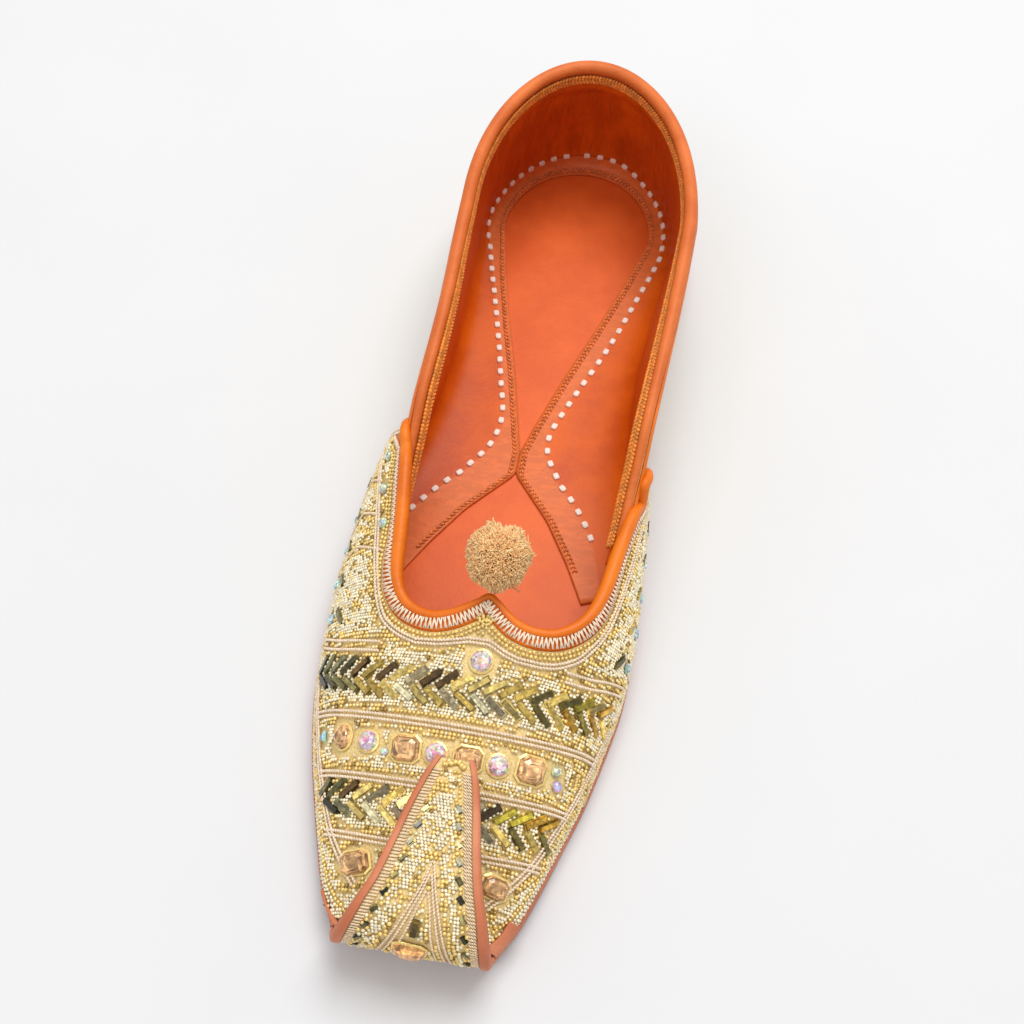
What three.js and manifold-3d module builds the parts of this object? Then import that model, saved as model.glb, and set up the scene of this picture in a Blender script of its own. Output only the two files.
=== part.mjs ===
// A left mojari: a flat embroidered slip-on shoe with a square toe whose vamp leather is folded up
// and back into a curl. Millimetres, +Z up, toe towards -Y, heel towards +Y.
import * as THREE from 'three';
import { mergeVertices } from 'three/addons/utils/BufferGeometryUtils.js';
import Module from 'manifold-3d';

const wasm = await Module();
wasm.setup();

// Driving dimensions
const GAP = 0.3;
const SOLE_THICKNESS = 3.5;
const SOLE_MARGIN = 1.6;
const TOE_SPRING = 4.5;
const SPRING_START_Y = -62;
const TOE_Y = -121.8;
const SOLE_TOE_Y = -124.7;
const HEEL_FLAT = 0.15;
const HEEL_Y = 127.2;
const HEEL_CAP_Y = 84;
const RIM_CAP_Y = 62;
const RIM_REAR_Y = 114.7;
const INSOLE_THICKNESS = 2.0;
const INSOLE_TOE_Y = -110;
const QUARTER_WALL = 1.8;
const VAMP_INSIDE = 1.0;
const VAMP_OUTSIDE = 1.6;
const MARGIN_THICKNESS = 1.2;
const BINDING_RADIUS = 1.9;
const BINDING_SEAT = 0.45;
const BINDING_SIDES = 4;
const CURL_THICKNESS = 2.5;
const POMPOM = { x: 4.0, y: -39.7, z: 41.8, core: 6.4, reach: 7.8, locks: 46 };
const LOCK = { radius: 1.5, length: 3.2 };
const ORIGIN = { x: 0.34, y: 0.71 };

// The last, station by station: the outline at the sole, the height that the vamp's arch reaches
// over its middle, how far that arch leans to the right and how square its shoulders are.
const LAST = [
  { y: -125.0, left: -16.6, right: 15.8, crown: 11.8, lean: 0.0, square: 2.3 },
  { y: -121.8, left: -18.2, right: 17.4, crown: 12.8, lean: 0.0, square: 2.3 },
  { y: -115.0, left: -21.7, right: 21.1, crown: 15.6, lean: 0.2, square: 2.3 },
  { y: -105.0, left: -25.3, right: 24.7, crown: 18.8, lean: 0.5, square: 2.3 },
  { y: -96.0, left: -28.4, right: 27.6, crown: 21.6, lean: 0.9, square: 2.3 },
  { y: -84.0, left: -32.2, right: 31.4, crown: 25.0, lean: 1.4, square: 2.3 },
  { y: -70.0, left: -35.5, right: 34.7, crown: 28.6, lean: 2.0, square: 2.3 },
  { y: -57.0, left: -37.0, right: 37.1, crown: 32.4, lean: 2.6, square: 2.35 },
  { y: -43.0, left: -37.6, right: 37.9, crown: 37.3, lean: 3.2, square: 2.5 },
  { y: -28.0, left: -36.8, right: 37.3, crown: 42.0, lean: 3.7, square: 2.6 },
  { y: -13.0, left: -35.4, right: 36.1, crown: 46.5, lean: 4.0, square: 2.8 },
  { y: 0.0, left: -33.4, right: 35.0, crown: 50.0, lean: 4.0, square: 2.8 },
  { y: 16.0, left: -30.8, right: 33.8, crown: 54.0, lean: 4.0, square: 2.8 },
  { y: 35.0, left: -28.8, right: 33.0, crown: 58.0, lean: 4.0, square: 2.8 },
  { y: 55.0, left: -28.4, right: 34.2, crown: 60.0, lean: 4.0, square: 2.8 },
  { y: 72.0, left: -29.4, right: 36.4, crown: 60.0, lean: 4.0, square: 2.8 },
  { y: 84.0, left: -29.8, right: 37.6, crown: 60.0, lean: 4.0, square: 2.8 },
];

// The quarter's rim: the outer face of its top edge on each side and its height. Belly is how long
// the wall stays upright before it leans in to the rim.
const RIM = [
  { y: -14.0, left: -20.0, right: 28.8, height: 40.4, belly: 1.5 },
  { y: -6.0, left: -20.4, right: 29.8, height: 43.4, belly: 1.5 },
  { y: 3.0, left: -20.8, right: 31.4, height: 45.2, belly: 1.6 },
  { y: 16.0, left: -21.1, right: 33.3, height: 46.6, belly: 1.8 },
  { y: 30.0, left: -21.6, right: 35.0, height: 47.6, belly: 1.7 },
  { y: 46.0, left: -22.6, right: 36.6, height: 48.6, belly: 1.6 },
  { y: 62.0, left: -23.2, right: 37.3, height: 49.6, belly: 1.5 },
];
const RIM_REAR = { x: 4.6, height: 50.8, belly: 1.25 };

// The cut edge of the turned-in lining on the insole, against the place on the wall that it hangs from.
const MARGIN = [
  { wall: -30.0, left: -24.6, right: 24.0, y: -31.5 },
  { wall: -20.0, left: -18.6, right: 18.4, y: -20.5 },
  { wall: -10.0, left: -11.0, right: 11.2, y: -8.6 },
  { wall: 0.0, left: -0.3, right: 1.0, y: 4.4 },
  { wall: 8.0, left: -0.4, right: 0.8, y: 12.0 },
  { wall: 16.0, left: -1.6, right: 2.6, y: 20.0 },
  { wall: 32.0, left: -5.6, right: 8.0, y: 37.5 },
  { wall: 50.0, left: -10.4, right: 14.2, y: 55.3 },
  { wall: 68.0, left: -15.2, right: 20.6, y: 74.7 },
  { wall: 84.0, left: -18.6, right: 25.6, y: 92.0 },
];
const MARGIN_REAR = { x: 3.6, y: 116.7 };
const MARGIN_HANG = 0.2;

// The curl: its middle line from the toe edge over the fold to the tip, and its width along the way.
const CURL = [
  { y: -123.3, z: 9.9, width: 36.0, x: -0.5 },
  { y: -125.3, z: 14.0, width: 35.6, x: -0.2 },
  { y: -126.0, z: 19.0, width: 34.4, x: 0.4 },
  { y: -124.4, z: 24.0, width: 31.8, x: 1.0 },
  { y: -120.4, z: 27.6, width: 28.0, x: 1.6 },
  { y: -114.5, z: 29.1, width: 23.2, x: 2.0 },
  { y: -107.0, z: 29.5, width: 19.2, x: 2.1 },
  { y: -98.0, z: 29.4, width: 15.2, x: 2.3 },
  { y: -91.0, z: 29.0, width: 11.4, x: 2.5 },
  { y: -86.0, z: 28.2, width: 7.6, x: 2.6 },
];

// The collar of the vamp: how far from the middle its edge runs on each side, as a share of the
// half width
const COLLAR = [
  { y: -46.0, left: 0.6, right: 0.6 },
  { y: -33.0, left: 0.68, right: 0.71 },
  { y: -20.0, left: 0.75, right: 0.8 },
  { y: -9.0, left: 0.815, right: 0.865 },
  { y: 0.0, left: 0.875, right: 0.905 },
  { y: 14.0, left: 0.95, right: 0.96 },
];
const THROAT = { point: -50.0, scallop: 5.6, corner: 6.0 };
const WING = { leftTipY: -4.5, rightTipY: -8.0, tipShare: 0.86, baseY: 6.0, square: 2.8 };

const lerp = (a, b, t) => a + (b - a) * t;
const clamp = (value, low, high) => Math.min(Math.max(value, low), high);

// A column of a table at any place between its rows, as a smooth curve through them
function column(table, key, at, along = 'y') {
  const last = table.length - 1;
  const place = clamp(at, table[0][along], table[last][along]);
  let i = 0;
  while (i < last - 1 && place > table[i + 1][along]) i += 1;
  const slope = (k) => {
    const a = table[Math.max(k - 1, 0)];
    const b = table[Math.min(k + 1, last)];
    return (b[key] - a[key]) / (b[along] - a[along]);
  };
  const [p, q] = [table[i], table[i + 1]];
  const span = q[along] - p[along];
  const t = (place - p[along]) / span;
  const [t2, t3] = [t * t, t * t * t];
  return (2 * t3 - 3 * t2 + 1) * p[key] + (t3 - 2 * t2 + t) * span * slope(i)
    + (3 * t2 - 2 * t3) * q[key] + (t3 - t2) * span * slope(i + 1);
}

// Height of the sole's underside over the floor
function spring(y) {
  const t = clamp((SPRING_START_Y - y) / (SPRING_START_Y - TOE_Y), 0, 1.1);
  return TOE_SPRING * t * t;
}

const seat = (y) => SOLE_THICKNESS + GAP + spring(y);

// One point of the vamp's arch: turn 0 is its left edge at the sole, 1 its right edge
function vampPoint(y, turn) {
  const left = column(LAST, 'left', y);
  const right = column(LAST, 'right', y);
  const angle = Math.PI * (1 - turn);
  const power = 2 / column(LAST, 'square', y);
  const side = Math.sign(Math.cos(angle)) * Math.abs(Math.cos(angle)) ** power;
  const rise = Math.max(Math.sin(angle), 0) ** power;
  const floor = seat(y);
  return new THREE.Vector3(
    (left + right) / 2 + column(LAST, 'lean', y) * rise + side * (right - left) / 2,
    y,
    floor + (column(LAST, 'crown', y) - floor) * rise,
  );
}

// The turn at which the arch is a share of its half width away from the middle
function turnAt(y, share) {
  const power = 2 / column(LAST, 'square', y);
  return 1 - Math.acos(clamp(Math.sign(share) * Math.abs(share) ** (1 / power), -1, 1)) / Math.PI;
}

// A stretch from left to right around the heel: two sides that follow a table, and a round end
function horseshoe(place, front, capStart, rear, leftAt, rightAt, roundness) {
  const sideShare = 0.3;
  if (place < sideShare || place > 1 - sideShare) {
    const onLeft = place < sideShare;
    const t = (onLeft ? place : 1 - place) / sideShare;
    const y = lerp(front, capStart, t);
    return { x: onLeft ? leftAt(y) : rightAt(y), y, station: y };
  }
  const angle = Math.PI * (1 - (place - sideShare) / (1 - 2 * sideShare));
  const [l, r] = [leftAt(capStart), rightAt(capStart)];
  const power = 2 / roundness;
  const side = Math.sign(Math.cos(angle)) * Math.abs(Math.cos(angle)) ** power;
  const back = Math.max(Math.sin(angle), 0) ** power;
  const middle = lerp((l + r) / 2, rear.x, back);
  return { x: middle + side * (r - l) / 2, y: lerp(capStart, rear.y, back), station: capStart, back };
}

const HEEL = { x: 4.2, y: HEEL_Y };
const QUARTER_FRONT_Y = -14;

function basePoint(place, margin = 0) {
  return horseshoe(place, QUARTER_FRONT_Y, HEEL_CAP_Y, { x: HEEL.x, y: HEEL.y + margin },
    (y) => column(LAST, 'left', y) - margin, (y) => column(LAST, 'right', y) + margin, 2.1);
}

function rimPoint(place) {
  const point = horseshoe(place, QUARTER_FRONT_Y, RIM_CAP_Y, { x: RIM_REAR.x, y: RIM_REAR_Y },
    (y) => column(RIM, 'left', y), (y) => column(RIM, 'right', y), 2.0);
  const back = point.back ?? 0;
  point.height = lerp(column(RIM, 'height', point.station), RIM_REAR.height, back);
  point.belly = lerp(column(RIM, 'belly', point.station), RIM_REAR.belly, back);
  return point;
}

// One point of the quarter's outer face: rise 0 is the sole, 1 the rim
function quarterPoint(place, rise) {
  const base = basePoint(place);
  const rim = rimPoint(place);
  const inward = rise ** rim.belly;
  const floor = seat(base.y);
  return new THREE.Vector3(
    lerp(base.x, rim.x, inward),
    lerp(base.y, rim.y, inward),
    lerp(floor, rim.height, rise),
  );
}

// The outward normal of a surface given as a function of two numbers
function normalOf(surface, a, b, flip) {
  const step = 1e-3;
  const alongA = surface(a + step, b).sub(surface(a - step, b));
  const alongB = surface(a, b + step).sub(surface(a, b - step));
  return alongA.cross(alongB).normalize().multiplyScalar(flip);
}

function geometryOf(points, faces) {
  const geometry = new THREE.BufferGeometry();
  geometry.setAttribute('position', new THREE.Float32BufferAttribute(points.flatMap((p) => p.toArray()), 3));
  geometry.setIndex(faces.flat());
  return geometry;
}

// Turns the faces of a closed mesh outwards
function faceOutwards(geometry) {
  const position = geometry.getAttribute('position');
  const index = geometry.getIndex();
  const corner = (i) => new THREE.Vector3().fromBufferAttribute(position, index.getX(i));
  let volume = 0;
  for (let i = 0; i < index.count; i += 3) volume += corner(i).dot(corner(i + 1).cross(corner(i + 2)));
  if (volume < 0) {
    for (let i = 0; i < index.count; i += 3) {
      const held = index.getX(i);
      index.setX(i, index.getX(i + 1));
      index.setX(i + 1, held);
    }
  }
  return geometry;
}

// A sheet of the given thickness on a grid of points: inner and outer faces closed by four rims
function sheet(rows, inner, outer) {
  const across = rows[0].length;
  const points = [];
  for (const offset of [inner, outer]) {
    for (const row of rows) {
      for (const { point, normal } of row) points.push(point.clone().addScaledVector(normal, offset));
    }
  }
  const layer = rows.length * across;
  const at = (level, i, j) => level * layer + i * across + j;
  const faces = [];
  const quad = (a, b, c, d) => faces.push([a, b, c], [a, c, d]);
  for (let i = 0; i < rows.length - 1; i += 1) {
    for (let j = 0; j < across - 1; j += 1) {
      quad(at(1, i, j), at(1, i + 1, j), at(1, i + 1, j + 1), at(1, i, j + 1));
      quad(at(0, i, j), at(0, i, j + 1), at(0, i + 1, j + 1), at(0, i + 1, j));
    }
    quad(at(0, i, 0), at(0, i + 1, 0), at(1, i + 1, 0), at(1, i, 0));
    quad(at(0, i, across - 1), at(1, i, across - 1), at(1, i + 1, across - 1), at(0, i + 1, across - 1));
  }
  const end = rows.length - 1;
  for (let j = 0; j < across - 1; j += 1) {
    quad(at(0, 0, j), at(1, 0, j), at(1, 0, j + 1), at(0, 0, j + 1));
    quad(at(0, end, j), at(0, end, j + 1), at(1, end, j + 1), at(1, end, j));
  }
  return faceOutwards(geometryOf(points, faces));
}

function gridOf(surface, countA, countB, flip) {
  const rows = [];
  for (let i = 0; i <= countA; i += 1) {
    const row = [];
    for (let j = 0; j <= countB; j += 1) {
      const [a, b] = [i / countA, j / countB];
      const [insideA, insideB] = [clamp(a, 0.002, 0.998), clamp(b, 0.002, 0.998)];
      row.push({ point: surface(a, b), normal: normalOf(surface, insideA, insideB, flip) });
    }
    rows.push(row);
  }
  return rows;
}

// A solid through closed sections of equal point count, with flat ends
function loft(sections) {
  const around = sections[0].length;
  const points = sections.flat();
  const faces = [];
  for (let i = 0; i < sections.length - 1; i += 1) {
    for (let j = 0; j < around; j += 1) {
      const k = (j + 1) % around;
      const [a, b] = [i * around, (i + 1) * around];
      faces.push([a + j, b + j, b + k], [a + j, b + k, a + k]);
    }
  }
  for (let j = 1; j < around - 1; j += 1) {
    faces.push([0, j, j + 1]);
    const end = (sections.length - 1) * around;
    faces.push([end, end + j + 1, end + j]);
  }
  return faceOutwards(geometryOf(points, faces));
}

function solidOf(geometry) {
  const bare = geometry.clone();
  bare.deleteAttribute('normal');
  bare.deleteAttribute('uv');
  const merged = mergeVertices(bare, 1e-4);
  return new wasm.Manifold(new wasm.Mesh({
    numProp: 3,
    vertProperties: new Float32Array(merged.getAttribute('position').array),
    triVerts: new Uint32Array(merged.getIndex().array),
  }));
}

function geometryFrom(solid) {
  const { vertProperties, triVerts } = solid.getMesh();
  const geometry = new THREE.BufferGeometry();
  geometry.setAttribute('position', new THREE.BufferAttribute(vertProperties, 3));
  geometry.setIndex(new THREE.BufferAttribute(triVerts, 1));
  return geometry;
}

// Upper: the vamp's arch, cut open at the collar, joined to the quarter that it overlaps

// The rear edge of the vamp slants down from each wing's tip to the sole
function vampEndY(turn) {
  const rise = Math.max(Math.sin(Math.PI * turn), 0) ** (2 / WING.square);
  const tipRise = (1 - WING.tipShare ** WING.square) ** (1 / WING.square);
  const tipY = turn < 0.5 ? WING.leftTipY : WING.rightTipY;
  return lerp(WING.baseY, tipY, clamp(rise / tipRise, 0, 1));
}

function vampSurface(along, turn) {
  return vampPoint(lerp(TOE_Y, vampEndY(turn), along), turn);
}

// The front of the collar: two scallops that meet in a point at the middle
function throatY(share) {
  const reach = Math.abs(share) / COLLAR[0].left;
  return THROAT.point - THROAT.scallop * Math.sin(Math.PI * Math.min(reach, 1) ** 1.15)
    + THROAT.corner * Math.min(reach, 1) ** 8;
}

// The opening inside the collar, as a patch of the same arch
function collarSurface(along, across) {
  const side = across * 2 - 1;
  const front = throatY(side * COLLAR[0].left);
  const y = lerp(front, 12, along);
  const share = side * column(COLLAR, side < 0 ? 'left' : 'right', y);
  return vampPoint(y, turnAt(y, share));
}

function upperSolid() {
  const vamp = solidOf(sheet(gridOf(vampSurface, 24, 26, -1), -VAMP_INSIDE, VAMP_OUTSIDE));
  const opening = solidOf(sheet(gridOf(collarSurface, 12, 22, -1), -6, 7));
  const quarter = solidOf(sheet(gridOf(quarterPoint, 56, 6, -1), -QUARTER_WALL, 0));
  return vamp.subtract(opening).add(quarter);
}

// Bindings: leather rolls along the vamp's collar and the quarter's rim
function roll(points, radius, steps) {
  const path = new THREE.CatmullRomCurve3(points, false, 'centripetal');
  const section = new THREE.Shape().absarc(0, 0, radius, 0, Math.PI * 2);
  return new THREE.ExtrudeGeometry(section, {
    steps, curveSegments: BINDING_SIDES, bevelEnabled: false, extrudePath: path,
  });
}

function quarterBinding() {
  const points = [];
  const count = 44;
  const start = 0.02;
  for (let i = 0; i <= count; i += 1) {
    const place = lerp(start, 1 - start, i / count);
    const rim = quarterPoint(place, 1);
    const normal = normalOf(quarterPoint, place, 0.99, -1);
    const up = new THREE.Vector3(0, 0, 1);
    points.push(rim.addScaledVector(normal, -QUARTER_WALL / 2).addScaledVector(up, BINDING_RADIUS + BINDING_SEAT));
  }
  return roll(points, BINDING_RADIUS, 64);
}

// The cut edge of the vamp as stations and turns of the arch: up the rear edge of the left wing, along
// its collar, around the throat's two scallops and down the right wing. Lift is how far the roll
// rides over the vamp's own middle, so that it clears the quarter behind the wing.
function vampEdge() {
  const wing = (side, key) => [
    ...[0.035, 0.07, 0.11, 0.15, 0.185].map((turn) => (
      { y: vampEndY(turn), turn: side < 0 ? turn : 1 - turn, lift: BINDING_RADIUS + GAP + 0.3 })),
    ...[1, 4.5, 8.5, 13, 18, 24, 30].map((down, i) => {
      const y = (side < 0 ? WING.leftTipY : WING.rightTipY) - down;
      return { y, turn: turnAt(y, side * column(COLLAR, key, y)), lift: [1.6, 1.1, 0.7][i] ?? 0.3 };
    }),
  ];
  const throat = [0.97, 0.9, 0.78, 0.62, 0.46, 0.3, 0.16].map((reach) => reach * COLLAR[0].left);
  const front = (side) => throat.map((share) => (
    { y: throatY(share), turn: turnAt(throatY(share), side * share), lift: 0.3 }));
  return [...wing(-1, 'left'), ...front(-1), { y: THROAT.point, turn: 0.5, lift: 0.3 },
    ...front(1).reverse(), ...wing(1, 'right').reverse()];
}

function vampBinding() {
  const edge = vampEdge().map(({ y, turn, lift }) => (
    { point: vampPoint(y, turn), normal: normalOf(vampPoint, y, turn, -1), lift }));
  const points = edge.map(({ point, normal, lift }, i) => {
    const before = edge[Math.max(i - 1, 0)].point;
    const after = edge[Math.min(i + 1, edge.length - 1)].point;
    const away = normal.clone().cross(after.clone().sub(before)).normalize();
    return point.clone().addScaledVector(normal, lift).addScaledVector(away, BINDING_RADIUS + BINDING_SEAT);
  });
  return roll(points, BINDING_RADIUS, 110);
}

// Outsole, insole and the lining turned in over it

function soleSections(stations, margin, bottomAt, thickness) {
  return stations.map((y) => {
    const [left, right] = outlineAt(y, margin);
    const topAt = (station) => bottomAt(station) + thickness;
    return [
      new THREE.Vector3(left, y, bottomAt(y)), new THREE.Vector3(right, y, bottomAt(y)),
      new THREE.Vector3(right, y, topAt(y)), new THREE.Vector3(left, y, topAt(y)),
    ];
  });
}

// Width of the outline at a station, with the round heel; margin is added all round
function outlineAt(y, margin) {
  if (y <= HEEL_CAP_Y) return [column(LAST, 'left', y) - margin, column(LAST, 'right', y) + margin];
  const back = clamp((y - HEEL_CAP_Y) / (HEEL_Y + margin - HEEL_CAP_Y), 0, 1);
  const [l, r] = [column(LAST, 'left', HEEL_CAP_Y) - margin, column(LAST, 'right', HEEL_CAP_Y) + margin];
  const half = (r - l) / 2 * (1 - back ** 2.1) ** (1 / 2.1);
  const middle = lerp((l + r) / 2, HEEL.x, back);
  return [middle - half, middle + half];
}

function stationList(front, rear, flat, cap) {
  const list = [];
  for (let i = 0; i < flat; i += 1) list.push(lerp(front, HEEL_CAP_Y, i / flat));
  for (let i = 0; i <= cap; i += 1) list.push(lerp(HEEL_CAP_Y, rear, Math.sin(Math.PI / 2 * i / cap)));
  return list;
}

function outsole() {
  const stations = stationList(SOLE_TOE_Y, HEEL_Y + SOLE_MARGIN - HEEL_FLAT, 26, 10);
  return loft(soleSections(stations, SOLE_MARGIN, spring, SOLE_THICKNESS));
}

function insole() {
  const inset = -(QUARTER_WALL + 2 * GAP + 0.2);
  const stations = stationList(INSOLE_TOE_Y, HEEL_Y + inset - HEEL_FLAT, 22, 8);
  return loft(soleSections(stations, inset, seat, INSOLE_THICKNESS));
}

function cutPoint(place) {
  const last = MARGIN[MARGIN.length - 1];
  const point = horseshoe(place, MARGIN[0].wall, HEEL_CAP_Y, MARGIN_REAR,
    (y) => column(MARGIN, 'left', y, 'wall'), (y) => column(MARGIN, 'right', y, 'wall'), 2.0);
  const onSide = point.back === undefined;
  return {
    x: point.x,
    y: onSide ? column(MARGIN, 'y', point.y, 'wall') : lerp(last.y, MARGIN_REAR.y, point.back),
  };
}

// The lining leaves the wall, turns in over the insole in a soft hollow and ends at its cut edge
function marginSurface(place, across) {
  const hang = quarterPoint(place, MARGIN_HANG)
    .addScaledVector(normalOf(quarterPoint, clamp(place, 0.002, 0.998), MARGIN_HANG, -1),
      -(QUARTER_WALL + GAP + MARGIN_THICKNESS + 0.2));
  const cut = cutPoint(place);
  const top = (y) => seat(y) + INSOLE_THICKNESS + GAP + 0.05;
  const end = new THREE.Vector3(cut.x, cut.y, top(cut.y));
  const corner = new THREE.Vector3(hang.x, hang.y, top(hang.y));
  const t = across;
  return hang.multiplyScalar((1 - t) ** 3)
    .addScaledVector(corner, 3 * t * (1 - t) ** 2)
    .addScaledVector(corner.clone().lerp(end, 0.35), 3 * t * t * (1 - t))
    .addScaledVector(end, t ** 3);
}

function liningMargin() {
  return sheet(gridOf(marginSurface, 46, 5, -1), 0, MARGIN_THICKNESS);
}

// Toe curl
function curlPoint(along, across) {
  const at = along * (CURL.length - 1);
  const rows = CURL.map((row, i) => ({ ...row, i }));
  const read = (key) => column(rows, key, at, 'i');
  return new THREE.Vector3(read('x') + (across - 0.5) * read('width'), read('y'), read('z'));
}

function toeCurl() {
  return sheet(gridOf(curlPoint, 24, 6, 1), -CURL_THICKNESS / 2, CURL_THICKNESS / 2);
}

// Pompom: a ball with short locks fused on all round
function pompom() {
  const centre = new THREE.Vector3(POMPOM.x, POMPOM.y, POMPOM.z);
  let ball = solidOf(new THREE.IcosahedronGeometry(POMPOM.core, 3).translate(...centre.toArray()));
  for (let i = 0; i < POMPOM.locks; i += 1) {
    const height = 1 - 2 * (i + 0.5) / POMPOM.locks;
    const turn = i * Math.PI * (3 - Math.sqrt(5));
    const flat = Math.sqrt(1 - height * height);
    const outward = new THREE.Vector3(flat * Math.cos(turn), flat * Math.sin(turn), height);
    const lock = new THREE.ConeGeometry(LOCK.radius, LOCK.length, 5)
      .translate(0, POMPOM.reach - LOCK.length / 2, 0);
    lock.applyQuaternion(new THREE.Quaternion().setFromUnitVectors(new THREE.Vector3(0, 1, 0), outward));
    ball = ball.add(solidOf(lock.translate(...centre.toArray())));
  }
  return geometryFrom(ball);
}

function named(name, geometry, color, roughness = 0.7, metalness = 0) {
  const mesh = new THREE.Mesh(geometry, new THREE.MeshStandardMaterial({ color, roughness, metalness }));
  mesh.name = name;
  return mesh;
}

const shoe = new THREE.Group();
shoe.position.set(-ORIGIN.x, -ORIGIN.y, 0);
shoe.add(named('outsole', outsole(), 0xd59a72));
shoe.add(named('insole', insole(), 0xeb6e3c));
shoe.add(named('upper', geometryFrom(upperSolid()), 0xd8c088, 0.55, 0.2));
shoe.add(named('lining_margin', liningMargin(), 0xe16941));
shoe.add(named('quarter_binding', quarterBinding(), 0xe1691e));
shoe.add(named('vamp_binding', vampBinding(), 0xe1691e));
shoe.add(named('pompom', pompom(), 0xebb46e, 0.95));
shoe.add(named('toe_curl', toeCurl(), 0xd8c088, 0.55, 0.2));
shoe.updateMatrixWorld(true);

export default shoe;
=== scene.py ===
import math

import bpy
import numpy as np
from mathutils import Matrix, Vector, kdtree


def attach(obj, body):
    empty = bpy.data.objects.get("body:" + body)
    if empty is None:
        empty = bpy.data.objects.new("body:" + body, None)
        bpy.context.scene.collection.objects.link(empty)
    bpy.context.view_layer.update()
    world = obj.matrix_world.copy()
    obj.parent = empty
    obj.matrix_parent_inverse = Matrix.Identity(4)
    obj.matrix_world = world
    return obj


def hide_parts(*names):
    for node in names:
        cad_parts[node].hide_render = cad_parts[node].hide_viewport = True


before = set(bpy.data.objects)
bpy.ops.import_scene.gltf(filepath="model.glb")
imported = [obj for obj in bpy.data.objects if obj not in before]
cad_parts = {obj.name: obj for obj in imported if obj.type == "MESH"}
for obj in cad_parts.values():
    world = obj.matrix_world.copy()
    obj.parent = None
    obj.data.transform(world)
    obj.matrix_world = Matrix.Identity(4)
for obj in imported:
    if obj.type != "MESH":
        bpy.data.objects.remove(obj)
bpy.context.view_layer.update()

# All sizes are millimetres on the last, which has its own zero.
# A finished piece is in metres in the part's frame.
MM = 0.001
ORIGIN = np.array([0.34, 0.71, 0.0])

# The last


def table(names, *rows):
    """A table of sizes as named columns."""
    return dict(zip(names.split(), np.array(rows).T))


LAST = table(
    "y left right crown lean square",
    (-125.0, -16.6, 15.8, 11.8, 0.0, 2.3),
    (-121.8, -18.2, 17.4, 12.8, 0.0, 2.3),
    (-115.0, -22.5, 21.1, 15.6, 0.2, 2.3),
    (-105.0, -26.3, 24.7, 18.8, 0.5, 2.3),
    (-96.0, -29.4, 27.6, 21.6, 0.9, 2.3),
    (-84.0, -33.2, 31.4, 25.0, 1.4, 2.3),
    (-70.0, -36.5, 34.7, 28.6, 2.0, 2.3),
    (-57.0, -38.0, 37.1, 32.4, 2.6, 2.35),
    (-43.0, -38.7, 37.9, 37.3, 3.2, 2.5),
    (-28.0, -37.9, 37.3, 42.0, 3.7, 2.6),
    (-13.0, -36.3, 36.1, 46.5, 4.0, 2.8),
    (0.0, -33.9, 35.0, 50.0, 4.0, 2.8),
    (16.0, -31.0, 33.8, 54.0, 4.0, 2.8),
    (35.0, -28.8, 33.0, 58.0, 4.0, 2.8),
    (55.0, -28.4, 34.2, 60.0, 4.0, 2.8),
    (72.0, -29.4, 36.4, 60.0, 4.0, 2.8),
    (84.0, -29.8, 37.6, 60.0, 4.0, 2.8),
)
# The quarter's rim on each side, its height, and how long the wall stays upright under it
RIM = table(
    "y left right height belly",
    (-28.0, -25.8, 31.5, 26.0, 1.2),
    (-20.0, -25.4, 32.6, 30.0, 1.2),
    (-13.0, -24.8, 33.2, 34.6, 1.15),
    (-7.0, -24.2, 33.8, 39.0, 1.1),
    (0.0, -23.7, 34.3, 43.6, 1.1),
    (8.0, -23.3, 34.9, 45.7, 1.1),
    (18.0, -23.0, 35.6, 46.7, 1.1),
    (30.0, -22.9, 36.4, 47.6, 1.15),
    (46.0, -23.3, 37.2, 48.6, 1.2),
    (62.0, -23.5, 37.6, 49.6, 1.2),
)
RIM_REAR = {"x": 4.6, "y": 114.7, "height": 50.8, "belly": 1.25}
RIM_CAP_Y = 62.0
# The cut edge of the turned-in lining, against the place on the wall that it hangs from
MARGIN = table(
    "wall left right y",
    (-30.0, -24.6, 24.0, -31.5),
    (-20.0, -18.6, 18.4, -20.5),
    (-10.0, -11.0, 11.2, -8.6),
    (0.0, 0.3, 0.4, 4.4),
    (8.0, 0.3, 0.4, 12.0),
    (16.0, -1.6, 2.6, 20.0),
    (32.0, -5.6, 8.0, 37.5),
    (50.0, -10.4, 14.2, 55.3),
    (68.0, -15.2, 20.6, 74.7),
    (84.0, -18.6, 25.6, 92.0),
)
MARGIN_REAR = {"x": 3.6, "y": 116.7}
# The curl's middle line from the toe over the fold to its tip, and its width
CURL = table(
    "y z width x",
    (-123.3, 9.9, 36.0, -0.5),
    (-125.3, 14.0, 35.6, -0.2),
    (-126.0, 19.0, 34.4, 0.4),
    (-124.4, 24.0, 31.8, 1.0),
    (-120.4, 27.6, 28.0, 1.6),
    (-114.5, 29.1, 23.2, 2.0),
    (-107.0, 29.5, 19.2, 2.1),
    (-98.0, 29.4, 15.2, 2.3),
    (-91.0, 29.0, 11.4, 2.5),
    (-86.0, 28.2, 7.6, 2.6),
)
CURL["row"] = np.arange(10.0)
WING_TIP_SHARE, WING_BASE_Y, WING_SQUARE = 0.86, 6.0, 2.8
WING_TIP_Y = {"left": -4.5, "right": -8.0}
TOE_Y, SPRING_START_Y, TOE_SPRING = -121.8, -62.0, 4.5
SOLE_TOE_Y, SOLE_THICKNESS, SOLE_MARGIN, GAP = -124.7, 3.5, 1.6, 0.3
HEEL = {"x": 4.2, "y": 127.2, "cap": 84.0, "round": 2.1}
INSOLE_TOE_Y, INSOLE_THICKNESS, LINING_THICKNESS = -110.0, 2.0, 0.8
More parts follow.
